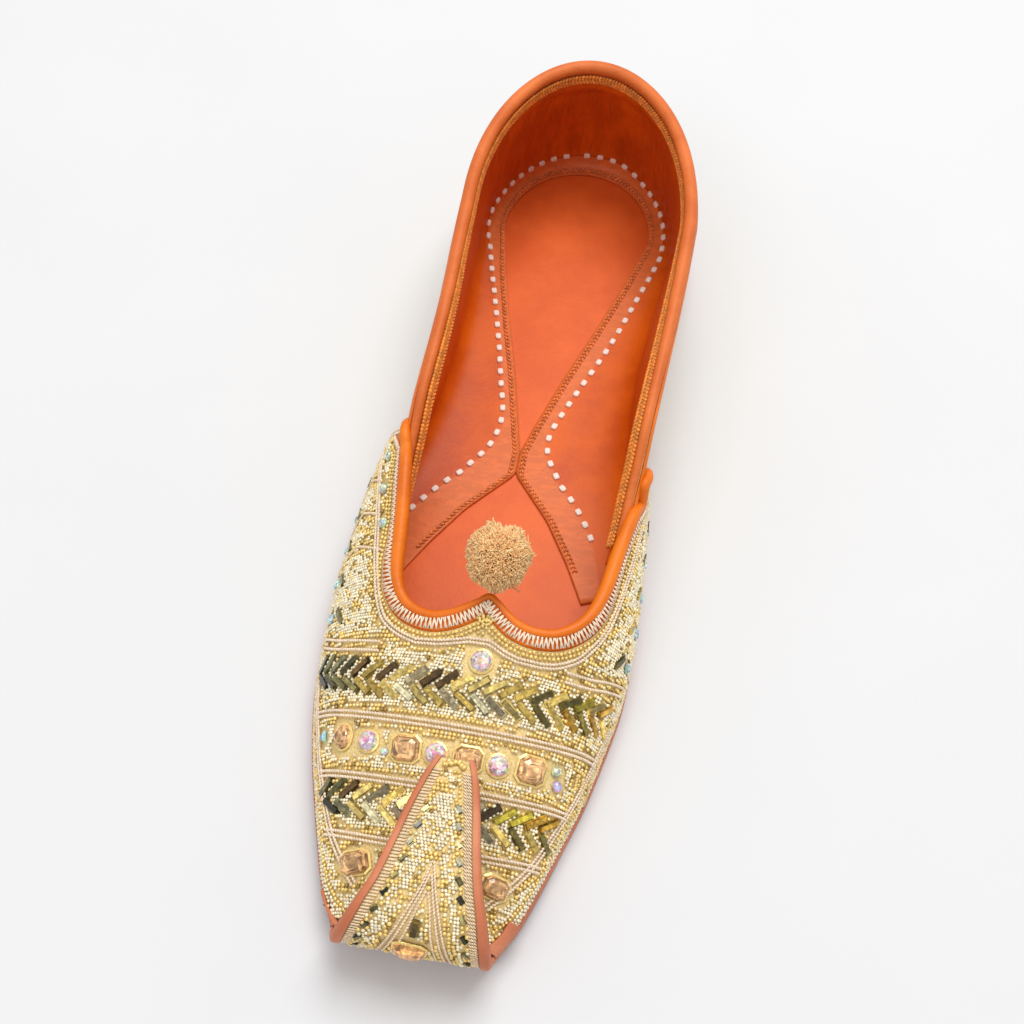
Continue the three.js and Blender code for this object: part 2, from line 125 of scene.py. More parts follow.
# Left and right lines of running stitches on the turned-in lining, on the ground plan from the heel forward
LEFT_STITCHES = [
    (-1.3, 122.0), (-12.0, 118.0), (-22.0, 110.6), (-24.6, 98.8), (-21.1, 80.7), (-14.0, 54.3),
    (-9.2, 34.0), (-6.5, 21.6), (-7.8, 13.4), (-13.0, 4.5), (-20.9, -5.0), (-27.0, -14.0)]
RIGHT_STITCHES = [
    (-1.3, 122.0), (7.0, 121.4), (14.2, 119.0), (23.0, 111.3), (28.8, 100.6), (30.1, 89.1), (25.5, 70.9),
    (19.7, 51.6), (11.6, 30.5), (7.6, 19.0), (7.0, 15.2), (10.5, 6.7), (19.8, -5.6), (25.2, -15.1)]
QUARTER_FRONT_Y, QUARTER_WALL = -28.0, 1.8
# The vamp's cut edge over the foot as places on the ground plan with the roll's radius there
COLLAR_EDGE = table(
    "x y radius",
    (-24.4, -11.0, 1.5),
    (-23.6, -15.5, 1.65),
    (-22.9, -20.0, 1.75),
    (-21.9, -27.0, 1.8),
    (-20.9, -36.0, 1.75),
    (-20.2, -42.5, 1.6),
    (-18.9, -47.0, 1.4),
    (-16.3, -50.7, 1.3),
    (-12.9, -52.6, 1.2),
    (-8.9, -53.2, 1.15),
    (-4.8, -52.2, 1.1),
    (-1.2, -50.3, 1.0),
    (1.2, -48.8, 0.9),
    (3.4, -47.5, 0.9),
    (5.6, -48.7, 0.9),
    (7.8, -50.5, 1.0),
    (10.7, -52.3, 1.1),
    (14.6, -53.2, 1.15),
    (19.4, -52.6, 1.2),
    (23.1, -50.6, 1.3),
    (26.2, -47.4, 1.4),
    (28.4, -43.2, 1.6),
    (29.9, -37.8, 1.75),
    (30.9, -31.5, 1.8),
    (32.1, -24.5, 1.75),
    (33.6, -17.5, 1.6),
    (34.8, -13.0, 1.45),
)
# The roll goes on round each wing's tip and ends against the quarter
LEFT_TIP = [
    (-25.6, -3.4, 35.6), (-25.6, -4.0, 37.8), (-25.8, -5.6, 39.2), (-25.7, -7.7, 39.5), (-25.2, -9.6, 39.3)]
RIGHT_TIP = [
    (35.4, -10.4, 35.6), (35.9, -8.4, 35.3), (35.8, -6.4, 34.6), (35.2, -5.2, 33.2), (34.8, -4.8, 31.0)]
# The bare leather where the vamp turns up into the curl, on the ground plan
LEFT_TOE_CORNER = [(-24.2, -114.8), (-22.0, -118.6), (-18.6, -122.4)]
RIGHT_TOE_CORNER = [(21.4, -115.0), (19.6, -118.8), (17.0, -122.4)]
POMPOM_CENTRE, POMPOM_RADIUS = np.array([4.0, -39.7, 41.8]), 7.8


def lerp(a, b, t):
    return a + (b - a) * t


def column(columns, name, at, along="y"):
    """A smooth curve through one column of a table."""
    x, value = columns[along], columns[name]
    at = np.clip(at, x[0], x[-1])
    i = np.clip(np.searchsorted(x, at) - 1, 0, len(x) - 2)
    before = np.maximum(np.arange(len(x)) - 1, 0)
    after = np.minimum(np.arange(len(x)) + 1, len(x) - 1)
    slope = (value[after] - value[before]) / (x[after] - x[before])
    span = x[i + 1] - x[i]
    t = (at - x[i]) / span
    return (
        (2 * t**3 - 3 * t**2 + 1) * value[i]
        + (t**3 - 2 * t**2 + t) * span * slope[i]
        + (3 * t**2 - 2 * t**3) * value[i + 1]
        + (t**3 - t**2) * span * slope[i + 1]
    )


def spring(y):
    """Height of the sole's underside over the floor."""
    t = np.clip((SPRING_START_Y - y) / (SPRING_START_Y - TOE_Y), 0, 1.1)
    return TOE_SPRING * t * t


def seat(y):
    return SOLE_THICKNESS + GAP + spring(y)


def rounded(angle, square):
    """Side and rise of a rounded arch: square 2 is a circle, more is boxier."""
    c, s = np.cos(angle), np.maximum(np.sin(angle), 0)
    return np.sign(c) * np.abs(c) ** (2 / square), s ** (2 / square)


def vamp_point(y, turn):
    """The vamp's arch: turn 0 is its left edge at the sole and 1 its right edge."""
    left, right = column(LAST, "left", y), column(LAST, "right", y)
    side, rise = rounded(np.pi * (1 - turn), column(LAST, "square", y))
    x = (left + right) / 2 + column(LAST, "lean", y) * rise + side * (right - left) / 2
    return np.stack([x, y + 0 * x, lerp(seat(y), column(LAST, "crown", y), rise)], -1)


def turn_at(y, share):
    """The turn at which the arch is that share of its half width off the middle."""
    power = column(LAST, "square", y) / 2
    return 1 - np.arccos(np.clip(np.sign(share) * np.abs(share) ** power, -1, 1)) / np.pi


def horseshoe(place, front, cap, rear, left_at, right_at, square):
    """From the left side round the heel to the right: x, y, the side's station, and the way round the end."""
    side_share = 0.3
    near = np.minimum(place, 1 - place)
    station = lerp(front, cap, np.clip(near / side_share, 0, 1))
    angle = np.pi * (1 - np.clip((place - side_share) / (1 - 2 * side_share), 0, 1))
    side, back = rounded(angle, square)
    on_side = near < side_share
    back = np.where(on_side, 0, back)
    left, right = left_at(cap), right_at(cap)
    x_round = lerp((left + right) / 2, rear["x"], back) + side * (right - left) / 2
    x = np.where(on_side, np.where(place < 0.5, left_at(station), right_at(station)), x_round)
    return x, np.where(on_side, station, lerp(cap, rear["y"], back)), station, back


def quarter_point(place, rise):
    """The quarter's outer face: rise 0 is the sole and 1 the rim."""
    base_x, base_y, _, _ = horseshoe(
        place, QUARTER_FRONT_Y, HEEL["cap"], HEEL,
        lambda y: column(LAST, "left", y), lambda y: column(LAST, "right", y), HEEL["round"])
    rim_x, rim_y, station, back = horseshoe(
        place, QUARTER_FRONT_Y, RIM_CAP_Y, RIM_REAR,
        lambda y: column(RIM, "left", y), lambda y: column(RIM, "right", y), 2.0)
    height = lerp(column(RIM, "height", station), RIM_REAR["height"], back)
    inward = np.abs(rise) ** lerp(column(RIM, "belly", station), RIM_REAR["belly"], back)
    return np.stack([
        lerp(base_x, rim_x, inward), lerp(base_y, rim_y, inward), lerp(seat(base_y), height, rise)], -1)


def outward(surface, a, b, step=1e-3):
    """The unit normal of a surface at a and b, pointing away from the foot."""
    across = surface(a + step, b) - surface(a - step, b)
    along = surface(a, b + step) - surface(a, b - step)
    normal = np.cross(along, across)
    return normal / np.maximum(np.linalg.norm(normal, axis=-1, keepdims=True), 1e-9)


def vamp_end_y(turn):
    """The wing's rear edge slants down from its tip to the sole."""
    tip = (1 - WING_TIP_SHARE**WING_SQUARE) ** (1 / WING_SQUARE)
    rise = np.maximum(np.sin(np.pi * turn), 0) ** (2 / WING_SQUARE)
    tip_y = np.where(turn < 0.5, WING_TIP_Y["left"], WING_TIP_Y["right"])
    return lerp(WING_BASE_Y, tip_y, np.clip(rise / tip, 0, 1))


def over_last(x, y):
    """The turn of the vamp's arch over a place on the ground plan."""
    x, y = np.asarray(x, float), np.asarray(y, float)
    left, right = column(LAST, "left", y), column(LAST, "right", y)
    square, lean = column(LAST, "square", y), column(LAST, "lean", y)
    rise = np.ones_like(x)
    for _ in range(30):
        share = np.clip((x - (left + right) / 2 - lean * rise) / ((right - left) / 2), -1, 1)
        rise = 0.5 * rise + 0.5 * (1 - np.abs(share) ** square) ** (1 / square)
    return turn_at(y, share)


def collar_edge():
    """The vamp's cut edge over the foot as stations and turns, from the left wing's tip to the right."""
    y = np.concatenate([[-6.0], COLLAR_EDGE["y"], [-8.5]])
    turn = over_last(COLLAR_EDGE["x"], COLLAR_EDGE["y"])
    ends = turn_at(np.array([-6.0, -8.5]), np.array([-0.85, 0.9]))
    return y, np.concatenate([ends[:1], turn, ends[1:]])


def vamp_edge():
    """The vamp's whole cut edge as stations and turns, from the sole on the left to the sole on the right."""
    y, turn = collar_edge()
    left, right = np.array([0.035, 0.07, 0.11, 0.15]), np.array([0.87, 0.9, 0.935, 0.965])
    return np.stack([
        np.concatenate([vamp_end_y(left), y, vamp_end_y(right)]), np.concatenate([left, turn, right])], 1)


def smooth_path(points, count):
    """Points at even distances on a smooth curve through the given ones."""
    points = np.asarray(points, float)
    ends = [2 * points[:1] - points[1:2], points, 2 * points[-1:] - points[-2:-1]]
    p = np.concatenate(ends)
    knot = np.concatenate([[0], np.cumsum(np.sqrt(np.linalg.norm(np.diff(p, axis=0), axis=1)) + 1e-9)])
    fine = []
    for i in range(1, len(p) - 2):
        t = np.linspace(knot[i], knot[i + 1], 24, endpoint=False)[:, None]
        t0, t1, t2, t3 = knot[i - 1:i + 3]
        a = (t1 - t) / (t1 - t0) * p[i - 1] + (t - t0) / (t1 - t0) * p[i]
        b = (t2 - t) / (t2 - t1) * p[i] + (t - t1) / (t2 - t1) * p[i + 1]
        c = (t3 - t) / (t3 - t2) * p[i + 1] + (t - t2) / (t3 - t2) * p[i + 2]
        d = (t2 - t) / (t2 - t0) * a + (t - t0) / (t2 - t0) * b
        e = (t3 - t) / (t3 - t1) * b + (t - t1) / (t3 - t1) * c
        fine.append((t2 - t) / (t2 - t1) * d + (t - t1) / (t2 - t1) * e)
    fine = np.concatenate(fine + [p[-2:-1]])
    length = np.concatenate([[0], np.cumsum(np.linalg.norm(np.diff(fine, axis=0), axis=1))])
    at = np.linspace(0, length[-1], count)
    return np.stack([np.interp(at, length, fine[:, k]) for k in range(fine.shape[1])], 1)

# Ways of making a piece


def clear_selection():
    bpy.ops.object.select_all(action="DESELECT")


def placed(points):
    """Points on the last in millimetres, as metres in the part's frame."""
    return (points - ORIGIN) * MM


def finish_piece(piece, name, material, replaced=()):
    """Names a piece, gives it its finish and fixes it to the shoe."""
    piece.name = name
    piece.data.name = name
    for finish in material if isinstance(material, (list, tuple)) else [material]:
        piece.data.materials.append(finish)
    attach(piece, "root")
    if replaced:
        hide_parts(*replaced)
    return piece


def apply_modifier(piece, kind, **settings):
    """Adds a modifier with the given settings and applies it."""
    clear_selection()
    piece.select_set(True)
    bpy.context.view_layer.objects.active = piece
    modifier = piece.modifiers.new(kind.lower(), kind)
    for name, value in settings.items():
        setattr(modifier, name, value)
    bpy.ops.object.modifier_apply(modifier=modifier.name)


def edit(piece, *steps):
    """Runs edit mode steps on all of a piece's mesh."""
    clear_selection()
    piece.select_set(True)
    bpy.context.view_layer.objects.active = piece
    bpy.ops.object.mode_set(mode="EDIT")
    bpy.ops.mesh.select_all(action="SELECT")
    for step in steps:
        step()
    bpy.ops.object.mode_set(mode="OBJECT")


def leather_sheet(surface, across, along, closed=False, flip=False, paint=None):
    """A grid of the given fineness laid on a surface, which takes two places from 0 to 1, as paint does."""
    clear_selection()
    bpy.ops.mesh.primitive_grid_add(x_subdivisions=across, y_subdivisions=along, size=1)
    piece = bpy.context.object
    flat = np.empty(len(piece.data.vertices) * 3)
    piece.data.vertices.foreach_get("co", flat)
    flat = flat.reshape(-1, 3)
    points = placed(surface(flat[:, 0] + 0.5, flat[:, 1] + 0.5))
    piece.data.vertices.foreach_set("co", points.ravel())
    if paint:
        shade = piece.data.attributes.new("shade", "FLOAT", "POINT")
        shade.data.foreach_set("value", paint(flat[:, 0] + 0.5, flat[:, 1] + 0.5))
    steps = []
    if closed:
        steps.append(lambda: bpy.ops.mesh.remove_doubles(threshold=1e-6))
    if flip:
        steps.append(lambda: bpy.ops.mesh.flip_normals())
    edit(piece, *steps)
    clear_selection()
    piece.select_set(True)
    bpy.ops.object.shade_smooth()
    return piece


def roll_of(path, radius, around=14):
    """A leather roll: a round tube along a path with closed, rounded ends."""
    ahead = np.gradient(path, axis=0)
    ahead /= np.linalg.norm(ahead, axis=1, keepdims=True)
    side = np.cross(ahead, np.array([0.0, 0.0, 1.0]))
    side /= np.linalg.norm(side, axis=1, keepdims=True)
    up = np.cross(side, ahead)
    length = np.concatenate([[0], np.cumsum(np.linalg.norm(np.diff(path, axis=0), axis=1))])
    end = np.minimum(length, length[-1] - length) / radius
    thick = radius * np.sqrt(np.clip(1 - (1 - np.clip(end, 0, 1)) ** 2, 1e-6, 1)) + 0 * length

    def surface(a, b):
        at = b * (len(path) - 1)
        pick = lambda values: np.stack(
            [np.interp(at, np.arange(len(path)), values[:, k]) for k in range(3)], 1)
        r = np.interp(at, np.arange(len(path)), thick)[:, None]
        angle = 2 * np.pi * a[:, None]
        return pick(path) + r * (np.cos(angle) * pick(side) + np.sin(angle) * pick(up))

    return leather_sheet(surface, around, len(path) - 1, closed=True, flip=True)


# Pieces


def vamp_map():
    """The vamp as a surface: a along its cut edge from the left wing to the right, b from toe to edge."""
    edge = vamp_edge()
    points = vamp_point(edge[:, 0], edge[:, 1])
    length = np.concatenate([[0], np.cumsum(np.linalg.norm(np.diff(points, axis=0), axis=1))])
    length = np.concatenate([[-4.0], length, [length[-1] + 4.0]])
    y = np.concatenate([[WING_BASE_Y], edge[:, 0], [WING_BASE_Y]])
    turn = np.concatenate([[0.0], edge[:, 1], [1.0]])
    share = (length - length[0]) / (length[-1] - length[0])

    def at(a, b):
        edge_y, edge_turn = np.interp(a, share, y), np.interp(a, share, turn)
        toe_turn = lerp(a, edge_turn, 0.35)
        return lerp(TOE_Y, edge_y, b), lerp(toe_turn, edge_turn, b)

    return at


def vamp():
    at = vamp_map()

    def surface(a, b):
        y, turn = at(a, b)
        return vamp_point(y, turn) + 0.4 * outward(vamp_point, y, np.clip(turn, 0.003, 0.997))

    piece = leather_sheet(surface, 320, 60)
    apply_modifier(piece, "SOLIDIFY", thickness=1.4 * MM, offset=-1, material_offset=1, material_offset_rim=0)
    return piece


def quarter():
    def surface(a, b):
        return quarter_point(a, b) - 0.2 * outward(quarter_point, np.clip(a, 0.003, 0.997), b * 0.98 + 0.01)

    piece = leather_sheet(surface, 220, 30)
    apply_modifier(piece, "SOLIDIFY", thickness=0.7 * MM, offset=-1)
    return piece


def cut_point(place):
    x, y, station, back = horseshoe(
        place, MARGIN["wall"][0], HEEL["cap"], MARGIN_REAR,
        lambda w: np.interp(w, MARGIN["wall"], MARGIN["left"]),
        lambda w: np.interp(w, MARGIN["wall"], MARGIN["right"]), 2.0)
    round_end = (place >= 0.3) & (place <= 0.7)
    along = np.interp(station, MARGIN["wall"], MARGIN["y"])
    y = np.where(round_end, lerp(MARGIN["y"][-1], MARGIN_REAR["y"], back), along)
    return np.stack([x, y, seat(y) + INSOLE_THICKNESS + LINING_THICKNESS + 0.1], -1)


def braid_share(place):
    """How wide the braid is: full at the front, half at the heel."""
    return lerp(0.5, 1.0, np.abs(2 * place - 1) ** 1.5)


def lining_point(place, down):
    """The lining's face: from the rim down the wall and in over the insole to its cut edge."""
    wall_share, hang_rise = 0.5, 0.22
    inside = np.clip(place, 0.003, 0.997)
    t = np.clip(down / wall_share, 0, 1)
    rise = lerp(1.0, hang_rise, t)
    # Under the rim the lining swells inwards and carries the braid
    depth = lerp(1.9, 4.4, t**1.6) + braid_share(place) * 1.7 * np.exp(-((down - 0.07) / 0.035) ** 2)
    normal = outward(quarter_point, inside, np.clip(rise, 0.02, 0.98))
    wall = quarter_point(place, rise) - depth[..., None] * normal
    hang = quarter_point(place, hang_rise + 0 * place) - 4.4 * outward(
        quarter_point, inside, hang_rise + 0 * place)
    cut = cut_point(place)
    over_insole = seat(hang[:, 1]) + INSOLE_THICKNESS + LINING_THICKNESS + 0.1
    corner = np.stack([hang[:, 0], hang[:, 1], over_insole], -1)
    s = np.clip((down - wall_share) / (1 - wall_share), 0, 1)[:, None]
    turned = (
        hang * (1 - s) ** 3 + corner * 3 * s * (1 - s) ** 2
        + lerp(corner, cut, 0.35) * 3 * s * s * (1 - s) + cut * s**3
    )
    return np.where((down < wall_share)[:, None], wall, turned)


def stitch_line(pairs, low, high):
    """The places on the turned-in lining under a line that is given on the ground plan."""
    place, down = np.meshgrid(np.linspace(low, high, 300), np.linspace(0.58, 1, 120), indexing="ij")
    place, down = place.ravel(), down.ravel()
    points = lining_point(place, down)
    plan = smooth_path(np.concatenate([np.array(pairs), np.zeros((len(pairs), 1))], 1), 240)
    found = np.array([np.argmin(np.sum((points[:, :2] - spot[:2]) ** 2, 1)) for spot in plan])
    soft = lambda values: np.convolve(np.pad(values, 7, mode="edge"), np.ones(15) / 15, mode="valid")
    return soft(place[found]), soft(down[found])


def lining():
    left, right = stitch_line(LEFT_STITCHES, 0, 0.5), stitch_line(RIGHT_STITCHES, 0.44, 1)
    place = np.concatenate([left[0][::-1], right[0]])
    stitched = np.concatenate([left[1][::-1], right[1]])
    order = np.argsort(place)

    def flange(a, b):
        return np.clip((b - np.interp(a, place[order], stitched[order])) / 0.012, 0, 1)

    piece = leather_sheet(lining_point, 260, 90, flip=True, paint=flange)
    apply_modifier(piece, "SOLIDIFY", thickness=LINING_THICKNESS * MM, offset=-1, material_offset_rim=1)
    return piece


def quarter_band():
    """The leather band folded down over the outside of the rim."""
    def surface(a, b):
        rise = lerp(0.925, 1.0, b)
        place = lerp(0.012, 0.988, a)
        lift = 0.35 + 0.35 * np.sin(np.pi * np.clip(b, 0, 1))
        normal = outward(quarter_point, place, np.clip(rise, 0, 0.99))
        return quarter_point(place, rise) + lift[:, None] * normal

    piece = leather_sheet(surface, 260, 8)
    apply_modifier(piece, "SOLIDIFY", thickness=0.6 * MM, offset=-1)
    return piece


def quarter_roll():
    place = np.linspace(0.015, 0.985, 110)
    path = quarter_point(place, 1 + 0 * place)
    path -= QUARTER_WALL / 2 * outward(quarter_point, place, 0.99 + 0 * place)
    radius = lerp(1.15, 1.85, np.clip((path[:, 1] + 6) / 60, 0, 1))
    path[:, 2] += radius - 0.1
    path = smooth_path(np.concatenate([path, radius[:, None]], 1), 400)
    return roll_of(path[:, :3], path[:, 3])


def vamp_roll_path():
    """The middle of the vamp's roll with its radius in the last column."""
    y, turn = collar_edge()
    y, turn = y[1:-1], turn[1:-1]
    middle = vamp_point(y, turn) + 0.45 * outward(vamp_point, y, turn)
    path = np.concatenate([LEFT_TIP, middle, RIGHT_TIP])
    radius = np.concatenate([[1.2, 1.25, 1.3, 1.35, 1.4], COLLAR_EDGE["radius"], [1.4, 1.35, 1.3, 1.25, 1.2]])
    return smooth_path(np.concatenate([path, radius[:, None]], 1), 620)


def vamp_roll():
    path = vamp_roll_path()
    return roll_of(path[:, :3], path[:, 3])


def outline_at(y, margin):
    """Left and right of the sole's outline at a station, with the round heel."""
    cap = HEEL["cap"]
    side_y = np.minimum(y, cap)
    left, right = column(LAST, "left", side_y) - margin, column(LAST, "right", side_y) + margin
    back = np.clip((y - cap) / (HEEL["y"] + margin - cap), 0, 1)
    half = (right - left) / 2 * np.maximum(1 - back ** HEEL["round"], 0) ** (1 / HEEL["round"])
    middle = np.where(y > cap, lerp((left + right) / 2, HEEL["x"], back), (left + right) / 2)
    return middle - half, middle + half


def sole_slab(front, margin, top, thickness, edge):
    """A slab cut to the sole's outline, with its edges rounded."""
    rear = HEEL["y"] + margin - 0.02

    def surface(a, b):
        straight = 0.72
        back = np.sin(np.pi / 2 * np.clip((b - straight) / (1 - straight), 0, 1))
        y = np.where(b < straight, lerp(front, HEEL["cap"], b / straight), lerp(HEEL["cap"], rear, back))
        left, right = outline_at(y, margin)
        return np.stack([lerp(left, right, a), y, top(y)], -1)

    piece = leather_sheet(surface, 36, 110, closed=True)
    apply_modifier(piece, "SOLIDIFY", thickness=thickness * MM, offset=-1)
    apply_modifier(
        piece, "BEVEL", width=edge * MM, segments=3, limit_method="ANGLE", angle_limit=math.radians(50))
    return piece


def outsole():
    return sole_slab(SOLE_TOE_Y, SOLE_MARGIN, lambda y: spring(y) + SOLE_THICKNESS, SOLE_THICKNESS, 0.8)


def insole():
    inset = -(QUARTER_WALL + 2 * GAP + 0.2)
    return sole_slab(INSOLE_TOE_Y, inset, lambda y: seat(y) + INSOLE_THICKNESS, INSOLE_THICKNESS, 0.4)


def curl_point(along, across):
    row = along * (len(CURL["row"]) - 1)
    read = lambda name: column(CURL, name, row, "row")
    return np.stack([read("x") + (across - 0.5) * read("width"), read("y"), read("z")], -1)


def curl_trim(along):
    """How wide the bare leather edge of the curl is, narrowing to the tip."""
    return lerp(1.8, 0.6, along)


def curl_edge(side):
    """The bare leather edge along one side of the curl."""
    def surface(a, b):
        width = column(CURL, "width", b * 9, "row")
        reach = (lerp(-0.35, curl_trim(b), a)) / width
        along, across = b, reach if side < 0 else 1 - reach
        inner = np.clip(across, 0.01, 0.99)
        normal = outward(curl_point, np.clip(along, 0.002, 0.998), inner)
        drop = np.where(a < 0.15, 1.5 * (1 - a / 0.15), 0)
        return curl_point(along, across) + (1.35 - drop)[:, None] * normal

    piece = leather_sheet(surface, 10, 110, flip=side < 0)
    apply_modifier(piece, "SOLIDIFY", thickness=0.5 * MM, offset=-1)
    return piece


def toe_corner(side):
    """The vamp's bare leather edge where it turns up into the curl."""
    ends = LEFT_TOE_CORNER if side < 0 else RIGHT_TOE_CORNER
    middle = smooth_path([(x, y, 0) for x, y in ends], 60)[:, :2]

    def surface(a, b):
        at = b * 59
        x = np.interp(at, np.arange(60), middle[:, 0]) + side * lerp(1.1, -1.9, a)
        y = np.interp(at, np.arange(60), middle[:, 1])
        turn = over_last(x, y)
        lift = 1.0 + 0.35 * np.sin(np.pi * np.clip(a, 0, 1))
        return vamp_point(y, turn) + lift[:, None] * outward(vamp_point, y, np.clip(turn, 0.003, 0.997))

    piece = leather_sheet(surface, 8, 40, flip=side > 0)
    apply_modifier(piece, "SOLIDIFY", thickness=0.9 * MM, offset=-1)
    return piece


def toe_curl():
    piece = leather_sheet(lambda a, b: curl_point(b, a), 30, 110)
    apply_modifier(piece, "SOLIDIFY", thickness=2.0 * MM, offset=0, material_offset=1, material_offset_rim=1)
    return piece

# Sewing: small things are modelled once and sewn on in rows


def unit(vectors):
    return vectors / np.maximum(np.linalg.norm(vectors, axis=-1, keepdims=True), 1e-9)


def pattern_of(shape):
    """Takes a finished small shape off the scene as its points and faces, for copying."""
    mesh = shape.data
    points = np.array([v.co[:] for v in mesh.vertices])
    faces = [list(f.vertices) for f in mesh.polygons]
    bpy.data.objects.remove(shape)
    return points, faces


def seed_bead():
    clear_selection()
    bpy.ops.mesh.primitive_ico_sphere_add(subdivisions=1, radius=0.5)
    return pattern_of(bpy.context.object)


def cord_stitch():
    """One turn of a twisted cord: a slim bead that lies askew."""
    clear_selection()
    bpy.ops.mesh.primitive_ico_sphere_add(subdivisions=1, radius=0.5)
    shape = bpy.context.object
    edit(shape,
         lambda: bpy.ops.transform.resize(value=(1.35, 0.8, 0.8)),
         lambda: bpy.ops.transform.rotate(value=math.radians(28), orient_axis="Z", center_override=(0, 0, 0)))
    return pattern_of(shape)


def thread_stitch():
    """One short stitch: a flat bar with its ends turned down."""
    clear_selection()
    bpy.ops.mesh.primitive_cylinder_add(vertices=6, radius=0.5, depth=1, rotation=(0, math.pi / 2, 0))
    shape = bpy.context.object
    bpy.ops.object.transform_apply(location=True, rotation=True, scale=True)
    edit(shape, lambda: bpy.ops.mesh.subdivide(number_cuts=1))
    return pattern_of(shape)


def running_stitch():
    """One stitch of thick white thread: a rounded block one millimetre long and wide."""
    clear_selection()
    bpy.ops.mesh.primitive_cube_add(size=1)
    shape = bpy.context.object
    apply_modifier(shape, "BEVEL", width=0.28, segments=2)
    return pattern_of(shape)


def faceted_stone(sides, table_size, crown, twist):
    """A cut stone on so many sides, 4 with cut corners: girdle, crown and table, one millimetre wide."""
    clear_selection()
    if sides == 4:
        bpy.ops.mesh.primitive_plane_add(size=1)
        edit(bpy.context.object, lambda: bpy.ops.mesh.bevel(offset=0.2, affect="VERTICES"))
    else:
        bpy.ops.mesh.primitive_circle_add(vertices=sides, radius=0.5, fill_type="NGON")
    shape = bpy.context.object
    turn = math.pi / sides * twist

    def rise(height, size, spin):
        bpy.ops.mesh.extrude_region_move(TRANSFORM_OT_translate={"value": (0, 0, height)})
        bpy.ops.transform.resize(value=(size, size, 1), center_override=(0, 0, 0))
        if spin:
            bpy.ops.transform.rotate(value=spin, orient_axis="Z", center_override=(0, 0, 0))

    edit(shape,
         lambda: rise(0.12, 1.0, 0),
         lambda: rise(crown * 0.45, 0.87, turn),
         lambda: rise(crown * 0.3, 0.86, turn),
         lambda: rise(crown * 0.25, table_size / 0.87 / 0.86, turn),
         lambda: bpy.ops.mesh.select_all(action="SELECT"),
         lambda: bpy.ops.mesh.quads_convert_to_tris(quad_method="FIXED"),
         lambda: bpy.ops.mesh.normals_make_consistent(inside=False))
    return pattern_of(shape)


def baguette():
    """A long glass bar with a flat top between sloping sides, one millimetre long and wide."""
    clear_selection()
    bpy.ops.mesh.primitive_cube_add(size=1)
    shape = bpy.context.object

    clear_selection()
    shape.select_set(True)
    for face in shape.data.polygons:
        face.select = face.normal.z > 0.9
    bpy.context.view_layer.objects.active = shape
    bpy.ops.object.mode_set(mode="EDIT")
    bpy.ops.mesh.select_mode(type="FACE")
    bpy.ops.transform.translate(value=(0, 0, -0.55))
    bpy.ops.mesh.extrude_region_move(TRANSFORM_OT_translate={"value": (0, 0, 0.45)})
    bpy.ops.transform.resize(value=(0.88, 0.62, 1), center_override=(0, 0, 0))
    bpy.ops.object.mode_set(mode="OBJECT")
    return pattern_of(shape)


class Tray:
    """Copies of one small shape waiting to be sewn on: where, which way, how large and in what tint."""

    def __init__(self, pattern, facet_tints_and_painted_light=None):
        self.points, self.faces = pattern
        self.facet_tints_and_painted_light = facet_tints_and_painted_light
        self.lots = []

    def lay(self, place, ahead, up, size, tint):
        count = len(place)
        size = np.broadcast_to(np.asarray(size, float), (count, 3))
        tint = np.broadcast_to(np.asarray(tint, float), (count, 3))
        up = unit(up)
        ahead = unit(ahead - up * np.sum(ahead * up, -1, keepdims=True))
        self.lots.append((place, ahead, up, size, tint))

    def sew(self, name, slot, material, smooth=True):
        place, ahead, up, size, tint = [np.concatenate(lot) for lot in zip(*self.lots)]
        side = np.cross(up, ahead)
        axes = np.stack([ahead, side, up], 1) * size[:, :, None]
        points = placed(place)[:, None, :] + np.einsum("pk,nkc->npc", self.points, axes) * MM
        count, many = len(place), len(self.points)
        corners = np.concatenate([np.array(face) for face in self.faces])
        lengths = np.array([len(face) for face in self.faces])
        all_corners = (corners[None] + (np.arange(count) * many)[:, None]).ravel()
        all_lengths = np.tile(lengths, count)
        mesh = bpy.data.meshes.new(name)
        mesh.vertices.add(count * many)
        mesh.vertices.foreach_set("co", points.ravel())
        mesh.loops.add(len(all_corners))
        mesh.loops.foreach_set("vertex_index", all_corners.astype(np.int32))
        mesh.polygons.add(len(all_lengths))
        starts = np.concatenate([[0], np.cumsum(all_lengths)[:-1]])
        mesh.polygons.foreach_set("loop_start", starts.astype(np.int32))
        mesh.polygons.foreach_set("loop_total", all_lengths.astype(np.int32))
        mesh.polygons.foreach_set("use_smooth", np.full(len(all_lengths), smooth))
        mesh.update(calc_edges=True)
        shade = np.ones((count, len(lengths), 3)) * tint[:, None, :]
        # Each facet takes a random multiplier from its list: the aurora lists are the stones' own colours,
        # and the bar and cut-stone lists are painted facet light and shade.
        if self.facet_tints_and_painted_light is not None:
            pick = luck.integers(0, len(self.facet_tints_and_painted_light), (count, len(lengths)))
            shade = shade * self.facet_tints_and_painted_light[pick]
        colours = np.concatenate([shade, np.ones((count, len(lengths), 1))], -1).reshape(-1, 4)
        layer = mesh.color_attributes.new("tint", "FLOAT_COLOR", "CORNER")
        layer.data.foreach_set("color", np.repeat(colours, all_lengths, axis=0).ravel())
        mesh.validate()
        piece = bpy.data.objects.new(name, mesh)
        bpy.context.scene.collection.objects.link(piece)
        return finish_piece(piece, name, material)


luck = np.random.default_rng(11)


